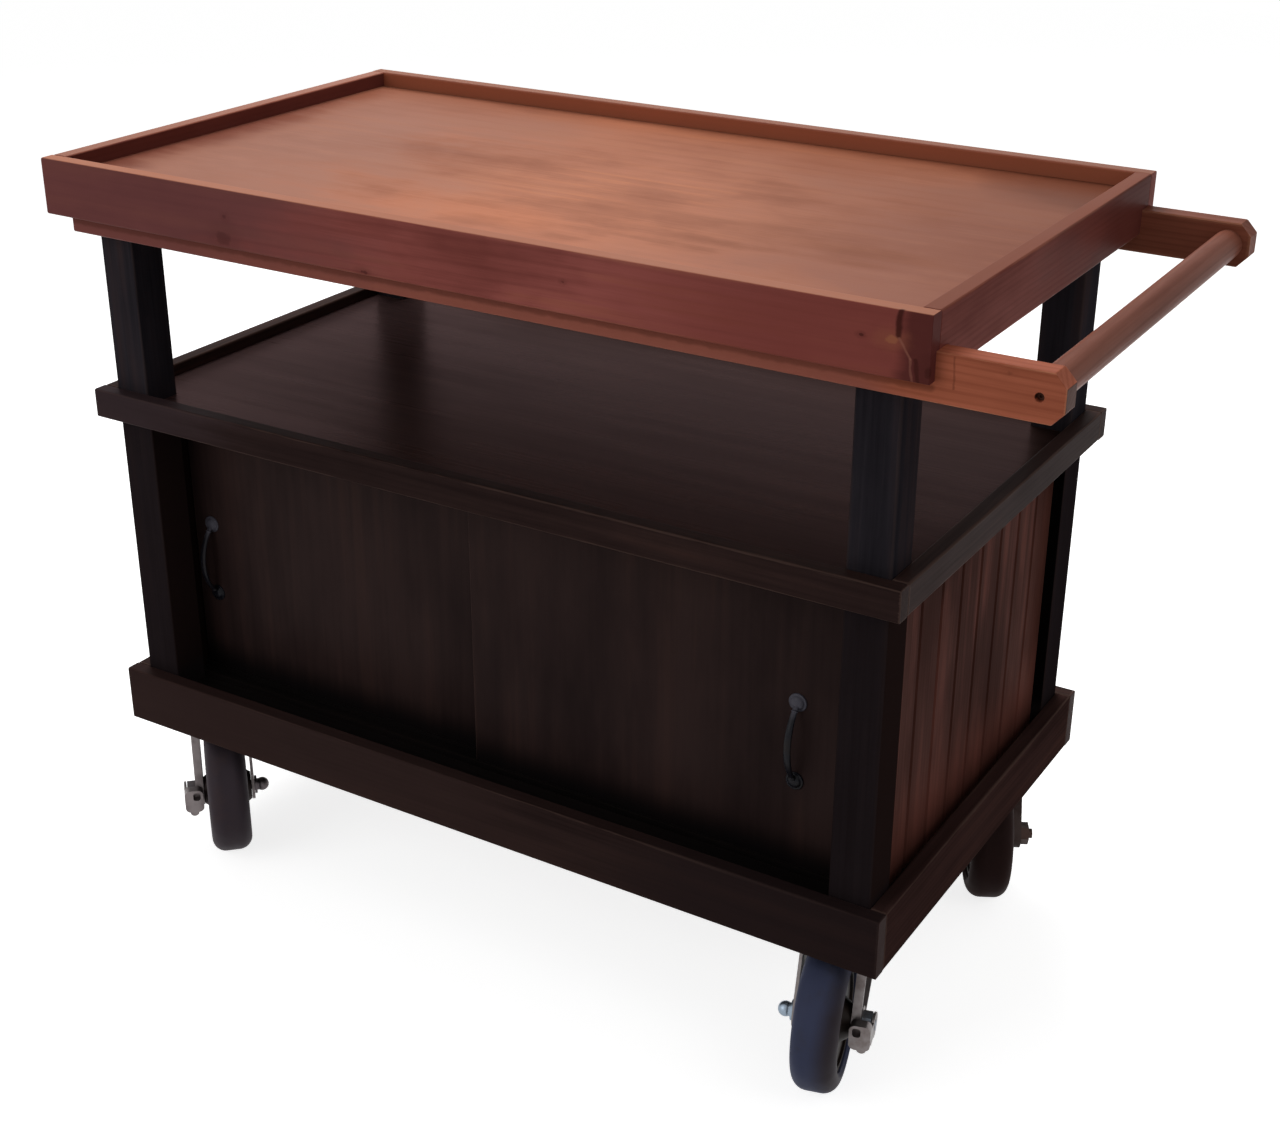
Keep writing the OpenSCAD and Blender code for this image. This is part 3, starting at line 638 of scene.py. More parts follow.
@dataclass
class Part:
    """Common work of the sub-assemblies."""

    nodes: dict[str, bpy.types.Object]

    @staticmethod
    def body_of(node: str) -> str:
        """Name of the body that a CAD node belongs to."""
        bodies = frame["record"]["behaviour"]["bodies"]
        return next(name for name, members in bodies.items() if node in members)

    @staticmethod
    def slot_of(node: str) -> str:
        """Material slot that the record gives a CAD node."""
        return next(s["material_slot"] for s in frame["record"]["subparts"] if s["node"] == node)

    def dress(self, node: str, material: bpy.types.Material) -> None:
        """Gives a CAD node its finish.

        Args:
            node: the CAD node.
            material: its finish.
        """
        mesh = self.nodes[node].data
        mesh.materials.clear()
        mesh.materials.append(material)

    def add_piece(self, name: str, shape: bmesh.types.BMesh, material: bpy.types.Material,
                  node: str) -> bpy.types.Object:
        """Makes an object that stands for a CAD node.

        Args:
            name: the piece's name.
            shape: its mesh, in metres in the part's frame, which is freed.
            material: its finish.
            node: the CAD node that it replaces.

        Returns:
            The new object.
        """
        mesh = bpy.data.meshes.new(name)
        shape.to_mesh(mesh)
        shape.free()
        mesh.materials.append(material)
        mesh.shade_smooth()
        piece = bpy.data.objects.new(name, mesh)
        bpy.context.scene.collection.objects.link(piece)
        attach(piece, self.body_of(node))
        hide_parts(node)
        return piece

    def rounded_copy(self, node: str, name: str, material: bpy.types.Material,
                     radius: float = 0.8 * MM, sharper: float = 20.0) -> bpy.types.Object:
        """Copies a node's CAD mesh and rounds its sharp edges.

        Args:
            node: the CAD node.
            name: the new piece's name.
            material: its finish.
            radius: width of the rounding.
            sharper: angle between two faces, in degrees, from which their edge is rounded.

        Returns:
            The new object.
        """
        shape = bmesh.new()
        shape.from_mesh(self.nodes[node].data)
        bmesh.ops.remove_doubles(shape, verts=shape.verts[:], dist=MERGE)
        bmesh.ops.dissolve_limit(shape, angle_limit=math.radians(0.5), verts=shape.verts[:],
                                 edges=shape.edges[:])
        sharp = [e for e in shape.edges if e.is_manifold and e.calc_face_angle() > math.radians(sharper)]
        bmesh.ops.bevel(shape, geom=sharp, offset=radius, offset_type="OFFSET", affect="EDGES", segments=2,
                        profile=0.5, material=-1, clamp_overlap=True)
        piece = self.add_piece(name, shape, material, node)
        flat = piece.modifiers.new("flat_faces", "WEIGHTED_NORMAL")
        flat.weight = 100
        return piece


@dataclass(frozen=True)
class Lamp:
    """A square soft lamp: its place and side in metres, its power in watts."""

    name: str
    place: Colour
    size: float
    power: float


@dataclass
class Studio:
    """Camera, lamps, floor and background."""

    camera_place: Colour = (1.0929, -1.7844, 1.4011)
    camera_turn: Colour = (65.152, -0.238, 31.322)
    lens: float = 54.607
    sensor: float = 36.0
    shift_up: float = -0.0075
    floor_size: float = 14.0
    floor_paint: float = 0.8
    floor_glow: float = 0.8
    white: float = 1.0
    fill: float = 0.24
    aim: Colour = (0.0, 0.0, 0.55)
    lamps: tuple[Lamp, ...] = (Lamp("key_lamp", (-1.0, 1.2, 2.8), 2.0, 64.0),
                               Lamp("side_lamp", (2.8, -0.6, 2.2), 1.6, 8.0),
                               Lamp("front_lamp", (-1.4, -3.0, 1.9), 2.4, 22.0))

    def build(self) -> None:
        """Makes everything that isn't the cart."""
        self.add_camera()
        self.add_floor()
        self.light_world()
        for lamp in self.lamps:
            self.hang(lamp)
        bpy.context.scene.view_settings.view_transform = "Standard"
        log.info("studio: camera, floor and %d lamps", len(self.lamps))

    def add_camera(self) -> None:
        """Puts the camera where the photograph was taken from."""
        data = bpy.data.cameras.new("camera")
        data.lens = self.lens
        data.sensor_width = self.sensor
        data.sensor_fit = "HORIZONTAL"
        data.shift_y = self.shift_up
        camera = bpy.data.objects.new("camera", data)
        camera.location = self.camera_place
        camera.rotation_euler = [math.radians(a) for a in self.camera_turn]
        bpy.context.scene.collection.objects.link(camera)
        bpy.context.scene.camera = camera

    def add_floor(self) -> None:
        """Lays the plain pale floor, white for the camera apart from the cart's shadow."""
        shape = bmesh.new()
        bmesh.ops.create_grid(shape, x_segments=1, y_segments=1, size=self.floor_size / 2)
        mesh = bpy.data.meshes.new("studio_floor")
        shape.to_mesh(mesh)
        shape.free()
        floor = bpy.data.objects.new("studio_floor", mesh)
        bpy.context.scene.collection.objects.link(floor)
        graph = Graph.of_material("studio_floor_paint")
        diffuse = graph.node("BsdfDiffuse", {"Color": (*[self.floor_paint] * 3, 1.0)})
        glow = graph.node("Emission", {"Color": (1.0, 1.0, 1.0, 1.0), "Strength": self.floor_glow})
        both = graph.node("AddShader", {0: diffuse.outputs[0], 1: glow.outputs[0]})
        seen = self.seen_rays(graph)
        mixed = graph.node("MixShader", {0: seen, 1: diffuse.outputs[0], 2: both.outputs[0]})
        out = graph.node("OutputMaterial")
        graph.tree.links.new(mixed.outputs[0], out.inputs["Surface"])
        mesh.materials.append(graph.owner)

    @staticmethod
    def seen_rays(graph: Graph) -> Socket:
        """Tells the rays that show the background from those that light the cart.

        Args:
            graph: the tree.

        Returns:
            A socket that is 1 for camera, glossy and transmission rays.
        """
        path = graph.node("LightPath").outputs
        seen = graph.maths("MAXIMUM", path["Is Camera Ray"], path["Is Glossy Ray"])
        return graph.maths("MAXIMUM", seen, path["Is Transmission Ray"])

    def light_world(self) -> None:
        """Makes the world white to see and softer as a light."""
        world = bpy.data.worlds.new("studio_world")
        bpy.context.scene.world = world
        graph = Graph(world)
        more = graph.maths("MULTIPLY", self.seen_rays(graph), self.white - self.fill)
        strength = graph.maths("ADD", self.fill, more)
        light = graph.node("Background", {"Color": (1.0, 1.0, 1.0, 1.0), "Strength": strength})
        out = graph.node("OutputWorld")
        graph.tree.links.new(light.outputs[0], out.inputs["Surface"])

    def hang(self, lamp: Lamp) -> None:
        """Hangs a lamp that faces the cart.

        Args:
            lamp: the lamp.
        """
        data = bpy.data.lights.new(lamp.name, "AREA")
        data.size = lamp.size
        data.energy = lamp.power
        hung = bpy.data.objects.new(lamp.name, data)
        hung.location = lamp.place
        way = Vector(self.aim) - Vector(lamp.place)
        hung.rotation_euler = way.to_track_quat("-Z", "Y").to_euler()
        bpy.context.scene.collection.objects.link(hung)


TRAY = WoodFinish("tray_stain", dark=(0.15, 0.037, 0.028), light=(0.32, 0.09, 0.07), edge_colour=(0.42, 0.16, 0.09),
                  rings=0.1, streaks=0.5, clouds=1.3, cloud_squash=0.45, mottle=0.9, gloss=0.4,
                  specular=0.012, edge_share=0.35, edged_ends=False)
TRAY_FLOOR = WoodFinish("tray_floor_stain", dark=(0.25, 0.083, 0.043), light=(0.49, 0.177, 0.093),
                        edge_colour=(0.17, 0.05, 0.03), rub=(0.54, 0.19, 0.078), rub_share=0.75, rings=0.09,
                        ring_width=11 * MM, streaks=0.3, clouds=1.3, cloud_squash=0.6, mottle=1.4,
                        gloss=0.36, specular=0.016, edge_share=0.5)
TRAY_FRONT = replace(TRAY, name="tray_front_stain", dark=(0.2, 0.05, 0.041), light=(0.45, 0.128, 0.108),
                     rub=(0.46, 0.15, 0.085), rub_share=0.5)
HANDLE = WoodFinish("handle_stain", dark=(0.35, 0.092, 0.047), light=(0.63, 0.19, 0.105), edge_colour=(0.62, 0.27, 0.15),
                    rings=0.18, gloss=0.38, specular=0.03, edge_share=0.5)
BAR = WoodFinish("bar_stain", dark=(0.145, 0.045, 0.028), light=(0.29, 0.103, 0.067), edge_colour=(0.4, 0.18, 0.11),
                 rings=0.18, gloss=0.38, specular=0.03, edge_share=0.3)
# A darker copy of the handle stain for the far arm, as painted shade.
SHADED_FAR_ARM = WoodFinish("far_arm_shaded_stain", dark=(0.13, 0.036, 0.021), light=(0.27, 0.085, 0.05), edge_colour=(0.4, 0.17, 0.1),
                     rings=0.16, gloss=0.4, specular=0.02, edge_share=0.5)
POST = WoodFinish("post_paint", dark=(0.0128, 0.0114, 0.0144), light=(0.041, 0.0355, 0.043),
                  edge_colour=(0.07, 0.045, 0.04), rub=(0.06, 0.03, 0.024), rub_share=0.35, rings=0.06,
                  gloss=0.42, specular=0.0, edge_share=0.3)
ESPRESSO = WoodFinish("espresso_paint", dark=(0.018, 0.010, 0.0095), light=(0.05, 0.028, 0.025),
                      edge_colour=(0.13, 0.08, 0.065), rub=(0.08, 0.036, 0.027), rub_share=0.35, rings=0.08,
                      gloss=0.42, specular=0.008, edge_share=0.45)
PLANK = WoodFinish("plank_paint", dark=(0.044, 0.0158, 0.0118), light=(0.112, 0.041, 0.031),
                   edge_colour=(0.14, 0.07, 0.05), rub=(0.22, 0.07, 0.052), rub_share=0.45, rings=0.08,
                   streaks=0.4, clouds=1.5, mottle=1.3, gloss=0.45, specular=0.004, edge_share=0.3)
DOOR = WoodFinish("door_paint", dark=(0.015, 0.009, 0.009), light=(0.042, 0.024, 0.022), edge_colour=(0.1, 0.06, 0.05),
                  rub=(0.06, 0.03, 0.024), rub_share=0.3, rings=0.05, streaks=0.3, clouds=1.2,
                  fibres=0.16, mottle=0.9, gloss=0.42, specular=0.02, edge_share=0.3)
# A lighter copy of the espresso paint for the base's right-hand board: painted light on the side that faces right.
BASE_RIGHT_LIT = replace(ESPRESSO, name="base_right_lit_paint", dark=(0.026, 0.0135, 0.012),
                   light=(0.068, 0.034, 0.0305), specular=0.0)
# The shelf floor's edge colour draws a near-black line round it where it meets the rim boards.
SHELF = WoodFinish("shelf_paint", dark=(0.022, 0.018, 0.016), light=(0.046, 0.04, 0.035),
                   edge_colour=(0.004, 0.003, 0.003), rub=(0.06, 0.044, 0.038), rub_share=0.3, rings=0.08,
                   gloss=0.28, specular=0.021, edge_share=0.8, wear_width=2 * MM,
                   varnish=Varnish((1.0, 0.1, 0.13)))
# Near-black paint on the aprons, the cabinet floor and the door tracks: painted shade on parts that sit in shade
# inside and under the cart.
INNER_SHADE = WoodFinish("inner_shade_paint", dark=(0.004, 0.0035, 0.0035), light=(0.012, 0.009, 0.0085),
                   edge_colour=(0.02, 0.014, 0.012), rings=0.1, gloss=0.6, specular=0.02, edge_share=0.2)
FRONT_FACE = (1, -1.0)
# Painted light on the top faces of the tray's rim boards.
LIT_RIM_TOPS = {
    "front": Shade(2, 1.0, 0.86, 0.9, 0.95, colour=(0.45, 0.18, 0.108)),
    "back": Shade(2, 1.0, 0.86, 0.9, 0.85, colour=(0.3, 0.135, 0.09)),
    "left": Shade(2, 1.0, 0.86, 0.9, 0.85, colour=(0.36, 0.16, 0.11)),
    "right": Shade(2, 1.0, 0.86, 0.9, 0.95, colour=(0.24, 0.082, 0.052)),
}
RIM_MARKS = {
    "front": Marks(
        knots=(Knot((-0.335, -0.289, 0.836), 11 * MM, 1.3, 0.42),
               Knot((-0.33, -0.289, 0.8597), 3 * MM, 1.3, 0.4),
               Knot((-0.145, -0.289, 0.8287), 3 * MM, 2.2, 0.6),
               Knot((0.099, -0.289, 0.8575), 1.8 * MM, 1.6, 0.6),
               Knot((0.413, -0.289, 0.86), 2 * MM, 1.6, 0.7),
               Knot((0.442, -0.289, 0.8615), 6 * MM, 1.6, 0.6, (0.46, 0.17, 0.08)),
               Knot((0.478, -0.289, 0.838), 9 * MM, 0.7, 0.6)),
        crack_and_shadow_lines=(CrackAndShadowLine((0.4505, -0.289, 0.89), (0.4485, -0.289, 0.866), 4.5 * MM, 0.85),
                CrackAndShadowLine((0.4495, -0.289, 0.863), (0.461, -0.289, 0.846), 1.8 * MM, 0.6, (0.34, 0.13, 0.09)),
                CrackAndShadowLine((0.461, -0.289, 0.846), (0.463, -0.289, 0.826), 1.8 * MM, 0.6, (0.3, 0.11, 0.08)),
                CrackAndShadowLine((0.466, -0.289, 0.846), (0.469, -0.289, 0.824), 3 * MM, 0.6)),
        shades=(LIT_RIM_TOPS["front"],),
        fades=(Fade(0, -0.05, -0.4, (0.15, 0.055, 0.055), 0.8), Fade(0, 0.15, 0.36, (0.23, 0.053, 0.042), 0.7),
               Fade(0, 0.442, 0.458, (0.105, 0.027, 0.024), 0.85))),
    # The back rim's inner face is painted lighter as painted light.
    "back": Marks(shades=(LIT_RIM_TOPS["back"], Shade(*FRONT_FACE, 0.87, 0.9, 0.9, 2 * MM, (0.4, 0.13, 0.068)))),
    # The left rim's inner face is painted darker as painted shade.
    "left": Marks(shades=(LIT_RIM_TOPS["left"], Shade(0, 1.0, 0.87, 0.9, 0.7, 2 * MM, (0.09, 0.024, 0.018)))),
    "right": Marks(shades=(LIT_RIM_TOPS["right"],), fades=(Fade(1, -0.12, 0.24, (0.07, 0.017, 0.013), 0.75),)),
}
# The fades paint the light across the tray floor: lighter in the middle and towards the front, darker towards both
# ends and the back, and darkest as painted shade along the left and back rims.
FLOOR_LIGHT_AND_KNOTS = Marks(
    knots=(Knot((0.47, 0.28, 0.871), 190 * MM, 1.1, 0.62, (0.105, 0.03, 0.017)),
           Knot((0.13, 0.21, 0.871), 90 * MM, 1.8, 0.3, (0.24, 0.058, 0.018)),
           Knot((-0.1, -0.16, 0.871), 80 * MM, 2.2, 0.3, (0.66, 0.21, 0.085))),
    fades=(Fade(1, -0.08, -0.24, (0.54, 0.205, 0.118), 0.65), Fade(0, -0.1, -0.45, (0.26, 0.12, 0.088), 0.65),
           Fade(0, -0.515, -0.575, (0.18, 0.055, 0.036), 0.92), Fade(0, 0.1, 0.42, (0.26, 0.093, 0.06), 0.7),
           Fade(1, 0.05, 0.27, (0.3, 0.107, 0.058), 0.5), Fade(1, 0.262, 0.3, (0.22, 0.075, 0.042), 0.8)))
# Painted sheen: the shelf floor goes over to pale grey towards its left end.
SHELF_SHEEN = Marks(fades=(Fade(0, -0.15, -0.5, (0.08, 0.075, 0.077), 0.45),))
RAIL_MARKS = {
    "front": Marks(
        knots=(Knot((0.5485, -0.276, 0.846), 3 * MM, 1.6, 0.3),),
        crack_and_shadow_lines=(CrackAndShadowLine((0.496, -0.276, 0.851), (0.4975, -0.276, 0.822), 1.6 * MM, 0.4),
                # A painted shadow line on the front arm just under the tray rim.
                CrackAndShadowLine((-0.58, -0.276, 0.819), (0.476, -0.276, 0.819), 6 * MM, 0.45)),
        shades=(Shade(0, 1.0, 0.8, 0.86, 0.9, colour=(0.05, 0.022, 0.017)),),
        fades=(Fade(0, 0.5, 0.4, (0.33, 0.105, 0.076), 0.85), Fade(0, 0.1, -0.4, (0.19, 0.06, 0.055), 0.8))),
    "back": Marks(),
}
POST_FOOT = Fade(2, 0.6, 0.56, (0.016, 0.0095, 0.009), 0.65)
# Near-black used as painted shade.
BLACK = (0.003, 0.0025, 0.0025)
# Near-black on the front posts' right-hand faces below the shelf: painted shade in the door recess on the
# front-left post, and the same dark strip beside the side planks on the front-right post.
SIDE_BLACK = Shade(0, 1.0, 0.245, 0.573, 1.0, colour=(0.0215, 0.0122, 0.0112))
POST_MARKS = {
    "front_right": Marks(shades=(SIDE_BLACK,), fades=(POST_FOOT,)),
    "front_left": Marks(shades=(SIDE_BLACK,), fades=(POST_FOOT,)),
    # The back posts' front faces below the shelf are painted near-black as the shade in their recesses.
    "back_right": Marks(shades=(Shade(*FRONT_FACE, 0.245, 0.573, 1.0, colour=BLACK),), fades=(POST_FOOT,)),
    "back_left": Marks(shades=(Shade(*FRONT_FACE, 0.245, 0.573, 1.0, colour=BLACK),)),
}
PANEL_MARKS = {
    # The left panel's inner face is painted near-black as the shade inside the cabinet.
    "side_panel_left": Marks(shades=(Shade(0, 1.0, 0.1, 0.7, 1.0, colour=(0.012, 0.0065, 0.0055)),)),
    "side_panel_right": Marks(fades=(Fade(2, 0.36, 0.26, (0.16, 0.055, 0.042), 0.4),)),
    "back_panel": Marks(),
}
# The cabinet floor stays near-black at the front as painted shade, and goes over to brown paint further in.
CABINET_FLOOR_MARKS = Marks(fades=(Fade(1, -0.15, -0.1, (0.06, 0.028, 0.021), 0.85),))
# Painted light: the right-hand end faces of the base's front and back boards take the right board's lighter
# colour.
RIGHT_FACE_LIGHT = Shade(0, 1.0, 0.1, 0.3, 1.0, colour=(0.042, 0.0215, 0.0195))
BASE_MARKS = {
    "front": Marks(shades=(RIGHT_FACE_LIGHT,), fades=(Fade(0, 0.15, -0.05, (0.046, 0.026, 0.0235), 0.5),
                                               Fade(0, 0.05, 0.35, (0.021, 0.013, 0.0135), 0.75),
                                               Fade(0, -0.3, -0.45, (0.034, 0.018, 0.0165), 0.6))),
    "back": Marks(shades=(RIGHT_FACE_LIGHT,)),
    "left": Marks(),
    "right": Marks(),
}
# Painted sheen: the shelf's front board goes over to pale grey towards its left end.
SHELF_RIM_SHEEN = {"front": Marks(fades=(Fade(0, -0.25, -0.5, (0.055, 0.037, 0.042), 0.6),))}
# Painted shade low on the doors' fronts, behind the base rim.
DOOR_MARKS = Marks(shades=(Shade(1, -1.0, 0.1, 0.248, 0.85, 22 * MM),))
# The fade paints a highlight on the pulls' upper feet.
IRON = MetalFinish("black_iron", base=(0.009, 0.009, 0.013), spots=(0.015, 0.012, 0.012), metallic=0.0, rough=0.3,
                   grain=420, relief=0.12 * MM, specular=0.1, fade=Fade(2, 0.405, 0.418, (0.1, 0.095, 0.12), 0.8))
STEEL = MetalFinish("bright_steel", base=(0.56, 0.56, 0.56), spots=(0.36, 0.34, 0.31), rough=0.3)
DARK_STEEL = MetalFinish("dark_steel", base=(0.06, 0.02, 0.012), spots=(0.08, 0.03, 0.02), metallic=0.3, rough=0.5,
                         specular=0.1)


@dataclass
class TrayTop(Part):
    """The rimmed tray: four edge boards and the floor panel."""

    def build(self) -> None:
        """Dresses the tray."""
        for side, along in (("front", Along.X), ("back", Along.X), ("left", Along.Y), ("right", Along.Y)):
            node = f"tray_rim_{side}"
            finish = TRAY_FRONT if side == "front" else TRAY
            self.rounded_copy(node, f"tray_board_{side}", finish.material(node, along, RIM_MARKS[side]))
        self.dress("tray_panel", TRAY_FLOOR.material("tray_panel", Along.X, FLOOR_LIGHT_AND_KNOTS))
        log.info("tray: four boards and the floor")


@dataclass
class PushHandle(Part):
    """The two rails with their arms, the push bar and its screws."""

    def build(self) -> None:
        """Dresses the handle."""
        for side in ("front", "back"):
            node = f"handle_rail_{side}"
            finish = HANDLE if side == "front" else SHADED_FAR_ARM
            self.rounded_copy(node, f"handle_arm_{side}", finish.material(node, Along.X, RAIL_MARKS[side]))
        self.dress("push_bar", BAR.material("push_bar", Along.Y))
        self.dress("push_bar_screws", DARK_STEEL.material())
        log.info("handle: two rails, bar and screws")


@dataclass
class UnderFrame(Part):
    """The posts and the cross rails under the tray."""

    def build(self) -> None:
        """Dresses the posts and cross rails."""
        for where in ("front_left", "front_right", "back_left", "back_right"):
            node = f"post_{where}"
            self.rounded_copy(node, f"leg_{where}", POST.material(node, Along.Z, POST_MARKS[where]))
        for side in ("left", "right"):
            node = f"apron_{side}"
            self.dress(node, INNER_SHADE.material(node, Along.Y))
        log.info("frame: four posts and two cross rails")


@dataclass
class OpenShelf(Part):
    """The shelf's edge boards and floor."""

    def build(self) -> None:
        """Dresses the shelf."""
        for side, along in (("front", Along.X), ("back", Along.X), ("left", Along.Y), ("right", Along.Y)):
            node = f"shelf_rim_{side}"
            marks = SHELF_RIM_SHEEN.get(side, Marks())
            self.rounded_copy(node, f"shelf_board_{side}", ESPRESSO.material(node, along, marks))
        self.dress("shelf_panel", SHELF.material("shelf_panel", Along.X, SHELF_SHEEN))
        log.info("shelf: four boards and the floor")


@dataclass
class Cabinet(Part):
    """The base, the planked panels and the door tracks."""

    def build(self) -> None:
        """Dresses the cabinet."""
        for side, along in (("front", Along.X), ("back", Along.X), ("left", Along.Y), ("right", Along.Y)):
            node = f"base_rim_{side}"
            finish = BASE_RIGHT_LIT if side == "right" else ESPRESSO
            self.rounded_copy(node, f"base_board_{side}", finish.material(node, along, BASE_MARKS[side]))
        self.dress("base_panel", INNER_SHADE.material("base_panel", Along.X, CABINET_FLOOR_MARKS))
        for node in ("side_panel_left", "side_panel_right", "back_panel"):
            self.dress(node, PLANK.material(node, Along.Z, PANEL_MARKS[node]))
        for node in ("door_track_top", "door_track_bottom"):
            self.dress(node, INNER_SHADE.material(node, Along.X))
        log.info("cabinet: base, panels and tracks")


@dataclass(frozen=True)
class PullShape:
    """Sizes of a forged bow pull with round feet, in metres."""

    foot_profile: tuple[tuple[float, float], ...] = (
        (10.4, 0.0), (10.4, 1.1), (9.9, 1.8), (9.0, 2.0), (8.5, 1.6),
        (8.0, 1.9), (7.3, 3.1), (5.6, 4.4), (3.2, 5.1), (0.0, 5.3))
    bow_out: float = 21.8 * MM
    bow_width: float = 8.4 * MM
    bow_depth: float = 4.2 * MM
    end_width: float = 0.62
    end_depth: float = 0.85
    bead: float = 3.6 * MM
    bead_at: float = 0.8
    turns: int = 40
    sides: int = 16


@dataclass
class SlidingDoors(Part):
    """The two doors with their pulls and screws."""

    pull: PullShape = PullShape()

    def build(self) -> None:
        """Dresses the doors and forges their pulls."""
        steel = STEEL.material()
        iron = IRON.material()
        for side in ("left", "right"):
            node = f"door_{side}"
            self.rounded_copy(node, f"door_slab_{side}", DOOR.material(node, Along.Z, DOOR_MARKS))
            self.add_piece(f"forged_pull_{side}", self.forge(f"door_pull_{side}"), iron, f"door_pull_{side}")
            self.dress(f"pull_screws_{side}", steel)
        log.info("doors: two slabs, forged pulls and screws")

    def forge(self, node: str) -> bmesh.types.BMesh:
        """Shapes a pull: two turned feet, a tapered bow and a bead near each end of it.

        Args:
            node: the pull's CAD node, whose box gives its place and height.

        Returns:
            The mesh, in the part's frame.
        """
        low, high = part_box(node)
        middle = Vector(((low[0] + high[0]) / 2, high[1], (low[2] + high[2]) / 2))
        half = (high[2] - low[2] - high[0] + low[0]) / 2
        shape = bmesh.new()
        for end in (-1, 1):
            self.turn_foot(shape, middle + Vector((0, 0, end * half)))
        hoop = (half ** 2 + self.pull.bow_out ** 2) / (2 * self.pull.bow_out)
        centre = middle + Vector((0, hoop - self.pull.bow_out, 0))
        reach = math.asin(half / hoop)
        self.bend_bow(shape, centre, hoop, reach)
        for end in (-1, 1):
            angle = end * reach * self.pull.bead_at
            place = centre + Vector((0, -hoop * math.cos(angle), hoop * math.sin(angle)))
            made = bmesh.ops.create_uvsphere(shape, u_segments=20, v_segments=12,
                                             radius=self.pull.bead)["verts"]
            bmesh.ops.scale(shape, vec=(1.05, 0.85, 0.5), verts=made)
            bmesh.ops.rotate(shape, cent=(0, 0, 0), matrix=Matrix.Rotation(-angle, 3, "X"), verts=made)
            bmesh.ops.translate(shape, vec=place, verts=made)
        bmesh.ops.recalc_face_normals(shape, faces=shape.faces[:])
        return shape

    def turn_foot(self, shape: bmesh.types.BMesh, place: Vector) -> None:
        """Turns a domed foot with a groove round it.

        Args:
            shape: the mesh to add to.
            place: the foot's middle on the door's face.
        """
        points = [shape.verts.new(place + Vector((radius * MM, -rise * MM, 0)))
                  for radius, rise in self.pull.foot_profile]
        lines = [shape.edges.new(pair) for pair in zip(points, points[1:])]
        bmesh.ops.spin(shape, geom=points + lines, cent=place, axis=(0, 1, 0), angle=math.tau,
                       steps=self.pull.turns, use_merge=True)
        bmesh.ops.remove_doubles(shape, verts=shape.verts[:], dist=MERGE)

    def bend_bow(self, shape: bmesh.types.BMesh, centre: Vector, hoop: float, reach: float) -> None:
        """Sweeps the bow's oval section round its hoop, thinner towards the feet.

        Args:
            shape: the mesh to add to.
            centre: the hoop's centre.
            hoop: the hoop's radius.
            reach: half of the bow's angle.
        """
        ring = bmesh.ops.create_circle(shape, cap_ends=True, segments=self.pull.sides, radius=0.5)["verts"]
        bmesh.ops.scale(shape, vec=(self.pull.bow_width, self.pull.bow_depth, 1), verts=ring)
        bmesh.ops.translate(shape, vec=centre - Vector((0, hoop, 0)), verts=ring)
        bmesh.ops.rotate(shape, cent=centre, matrix=Matrix.Rotation(-reach, 3, "X"), verts=ring)
        first = set(shape.verts) - set(ring)
        cap = ring[0].link_faces[0]
        bmesh.ops.spin(shape, geom=[cap], cent=centre, axis=(1, 0, 0), angle=2 * reach, steps=self.pull.turns)
        for vert in set(shape.verts) - first:
            arm = vert.co - centre
            radius = math.hypot(arm.y, arm.z)
            angle = math.atan2(arm.z, -arm.y)
            share = min(1.0, abs(angle) / reach) ** 2
            vert.co.x = centre.x + arm.x * (1 + share * (self.pull.end_width - 1))
            thin = hoop + (radius - hoop) * (1 + share * (self.pull.end_depth - 1))
            vert.co.y = centre.y + arm.y * thin / radius
            vert.co.z = centre.z + arm.z * thin / radius


@dataclass(frozen=True)
class CasterLook:
    """The colours of one caster, with a little dust on its rubber and plastic, painted lighter or darker by how
    the light falls where it stands.
    """

    metal: Colour
    bolt: Colour
    spots: Colour
    rubber: Colour
    rubber_dust: Colour
    plastic: Colour
    rough: float = 0.36
    rubber_shine: float = 0.12
    rubber_fade: Fade | None = None


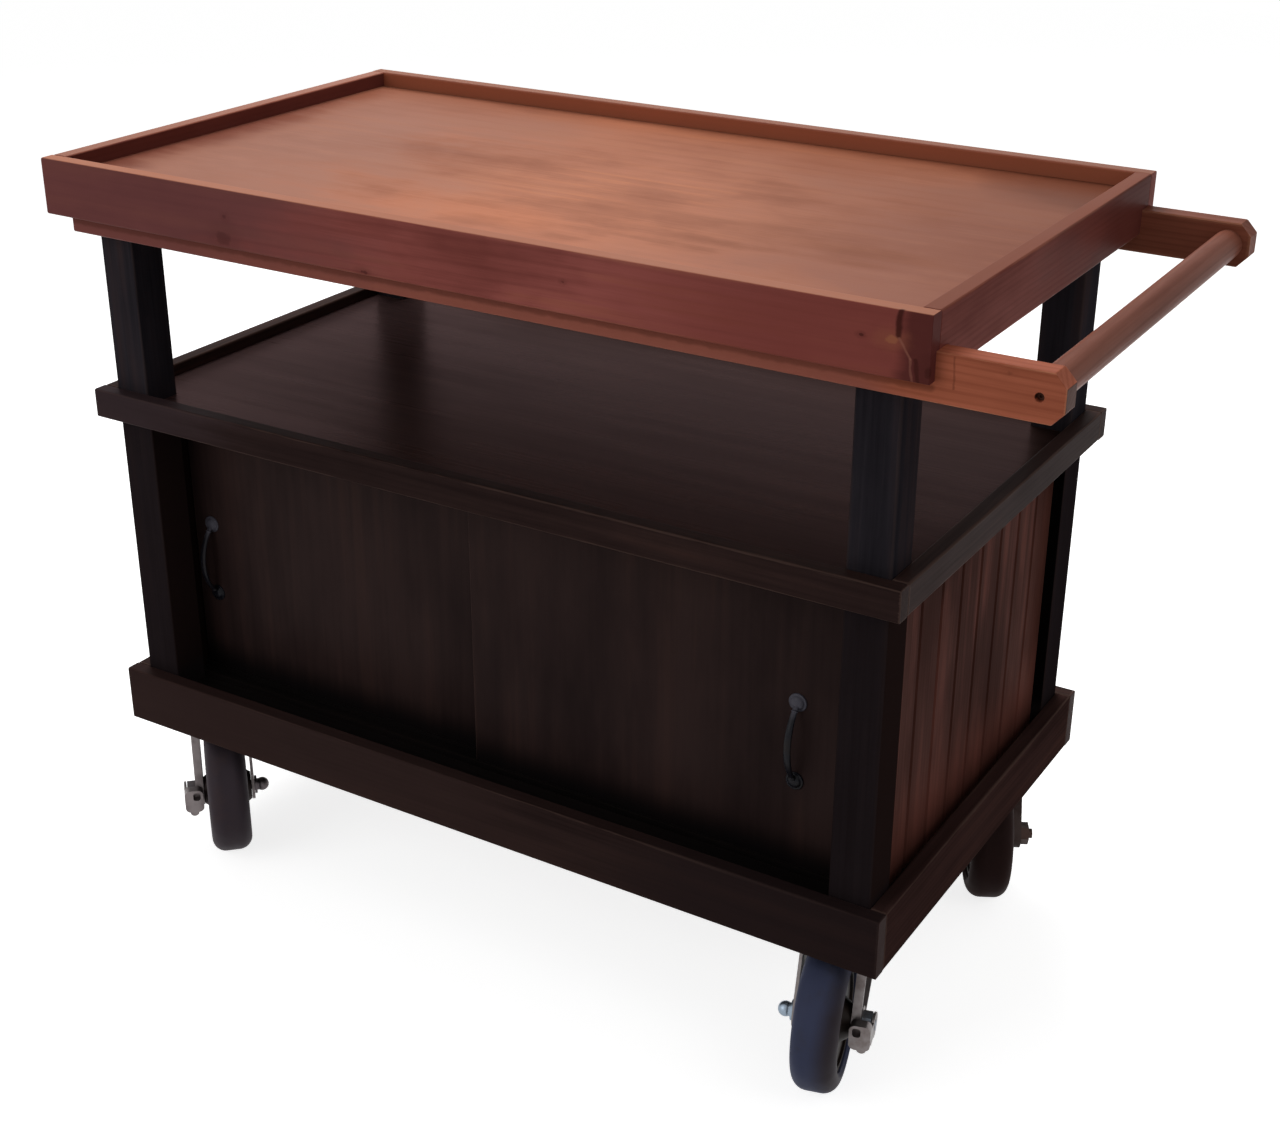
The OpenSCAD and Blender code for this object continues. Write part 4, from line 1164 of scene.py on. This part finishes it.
@dataclass
class Casters(Part):
    """The swivel casters."""

    def build(self) -> None:
        """Dresses the casters."""
        steel = STEEL.material()
        plated = MetalFinish("zinc_plate", (0.5, 0.49, 0.47), (0.3, 0.27, 0.23), rough=0.36).material()
        for node in ("caster_plates", "caster_screws", "kingpins"):
            self.dress(node, plated)
        self.dress("swivel_balls", steel)
        for where, look in CASTER_LOOKS.items():
            zinc = MetalFinish(f"zinc_{where}", look.metal, look.spots, rough=look.rough).material()
            bolt = MetalFinish(f"bolt_{where}", look.bolt, look.spots, rough=look.rough).material()
            rubber = RubberFinish(f"rubber_{where}", look.rubber, look.rubber_dust,
                                  specular=look.rubber_shine, fade=look.rubber_fade).material()
            dusty = tuple(c * 2 for c in look.plastic)
            plastic = RubberFinish(f"plastic_{where}", look.plastic, dusty, 0.5).material()
            self.rounded_copy(f"fork_{where}", f"caster_fork_{where}", zinc, 0.5 * MM, 30)
            self.rounded_copy(f"axle_bolt_{where}", f"axle_{where}", bolt, 0.5 * MM, 30)
            self.dress(f"wheel_hub_{where}", plastic)
            self.dress(f"tyre_{where}", rubber)
            if where.startswith("front"):
                self.rounded_copy(f"brake_pedal_{where}", f"foot_brake_{where}", zinc, 0.7 * MM, 30)
        log.info("casters: four, two with pedals")


# Lit and shaded copies of the same caster finishes: the back right caster is painted dark as painted shade, and
# the front right tyre's fade paints shade on its right side.
CASTER_LOOKS = {
    "front_right": CasterLook((0.2, 0.18, 0.178), (0.27, 0.33, 0.4), (0.13, 0.105, 0.1), (0.054, 0.063, 0.118),
                              (0.06, 0.055, 0.068), (0.016, 0.01, 0.008),
                              rubber_fade=Fade(0, 0.408, 0.432, (0.026, 0.016, 0.013), 0.85)),
    "front_left": CasterLook((0.19, 0.165, 0.165), (0.1, 0.085, 0.09), (0.12, 0.1, 0.1), (0.046, 0.034, 0.042),
                             (0.07, 0.046, 0.046), (0.03, 0.019, 0.018), 0.45),
    "back_right": CasterLook((0.034, 0.024, 0.022), (0.045, 0.028, 0.024), (0.024, 0.015, 0.013),
                             (0.024, 0.012, 0.011), (0.038, 0.021, 0.018), (0.012, 0.007, 0.006), 0.5, 0.03),
    "back_left": CasterLook((0.19, 0.165, 0.165), (0.1, 0.085, 0.09), (0.12, 0.1, 0.1), (0.02, 0.016, 0.018),
                            (0.034, 0.024, 0.022), (0.03, 0.019, 0.018), 0.45),
}


def main() -> None:
    """Builds the studio and dresses the cart."""
    logging.basicConfig(level=logging.INFO, format="%(message)s")
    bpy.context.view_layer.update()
    Studio().build()
    for part in (TrayTop, PushHandle, UnderFrame, OpenShelf, Cabinet, SlidingDoors, Casters):
        part(frame["nodes"]).build()


if __name__ == "__main__":
    main()
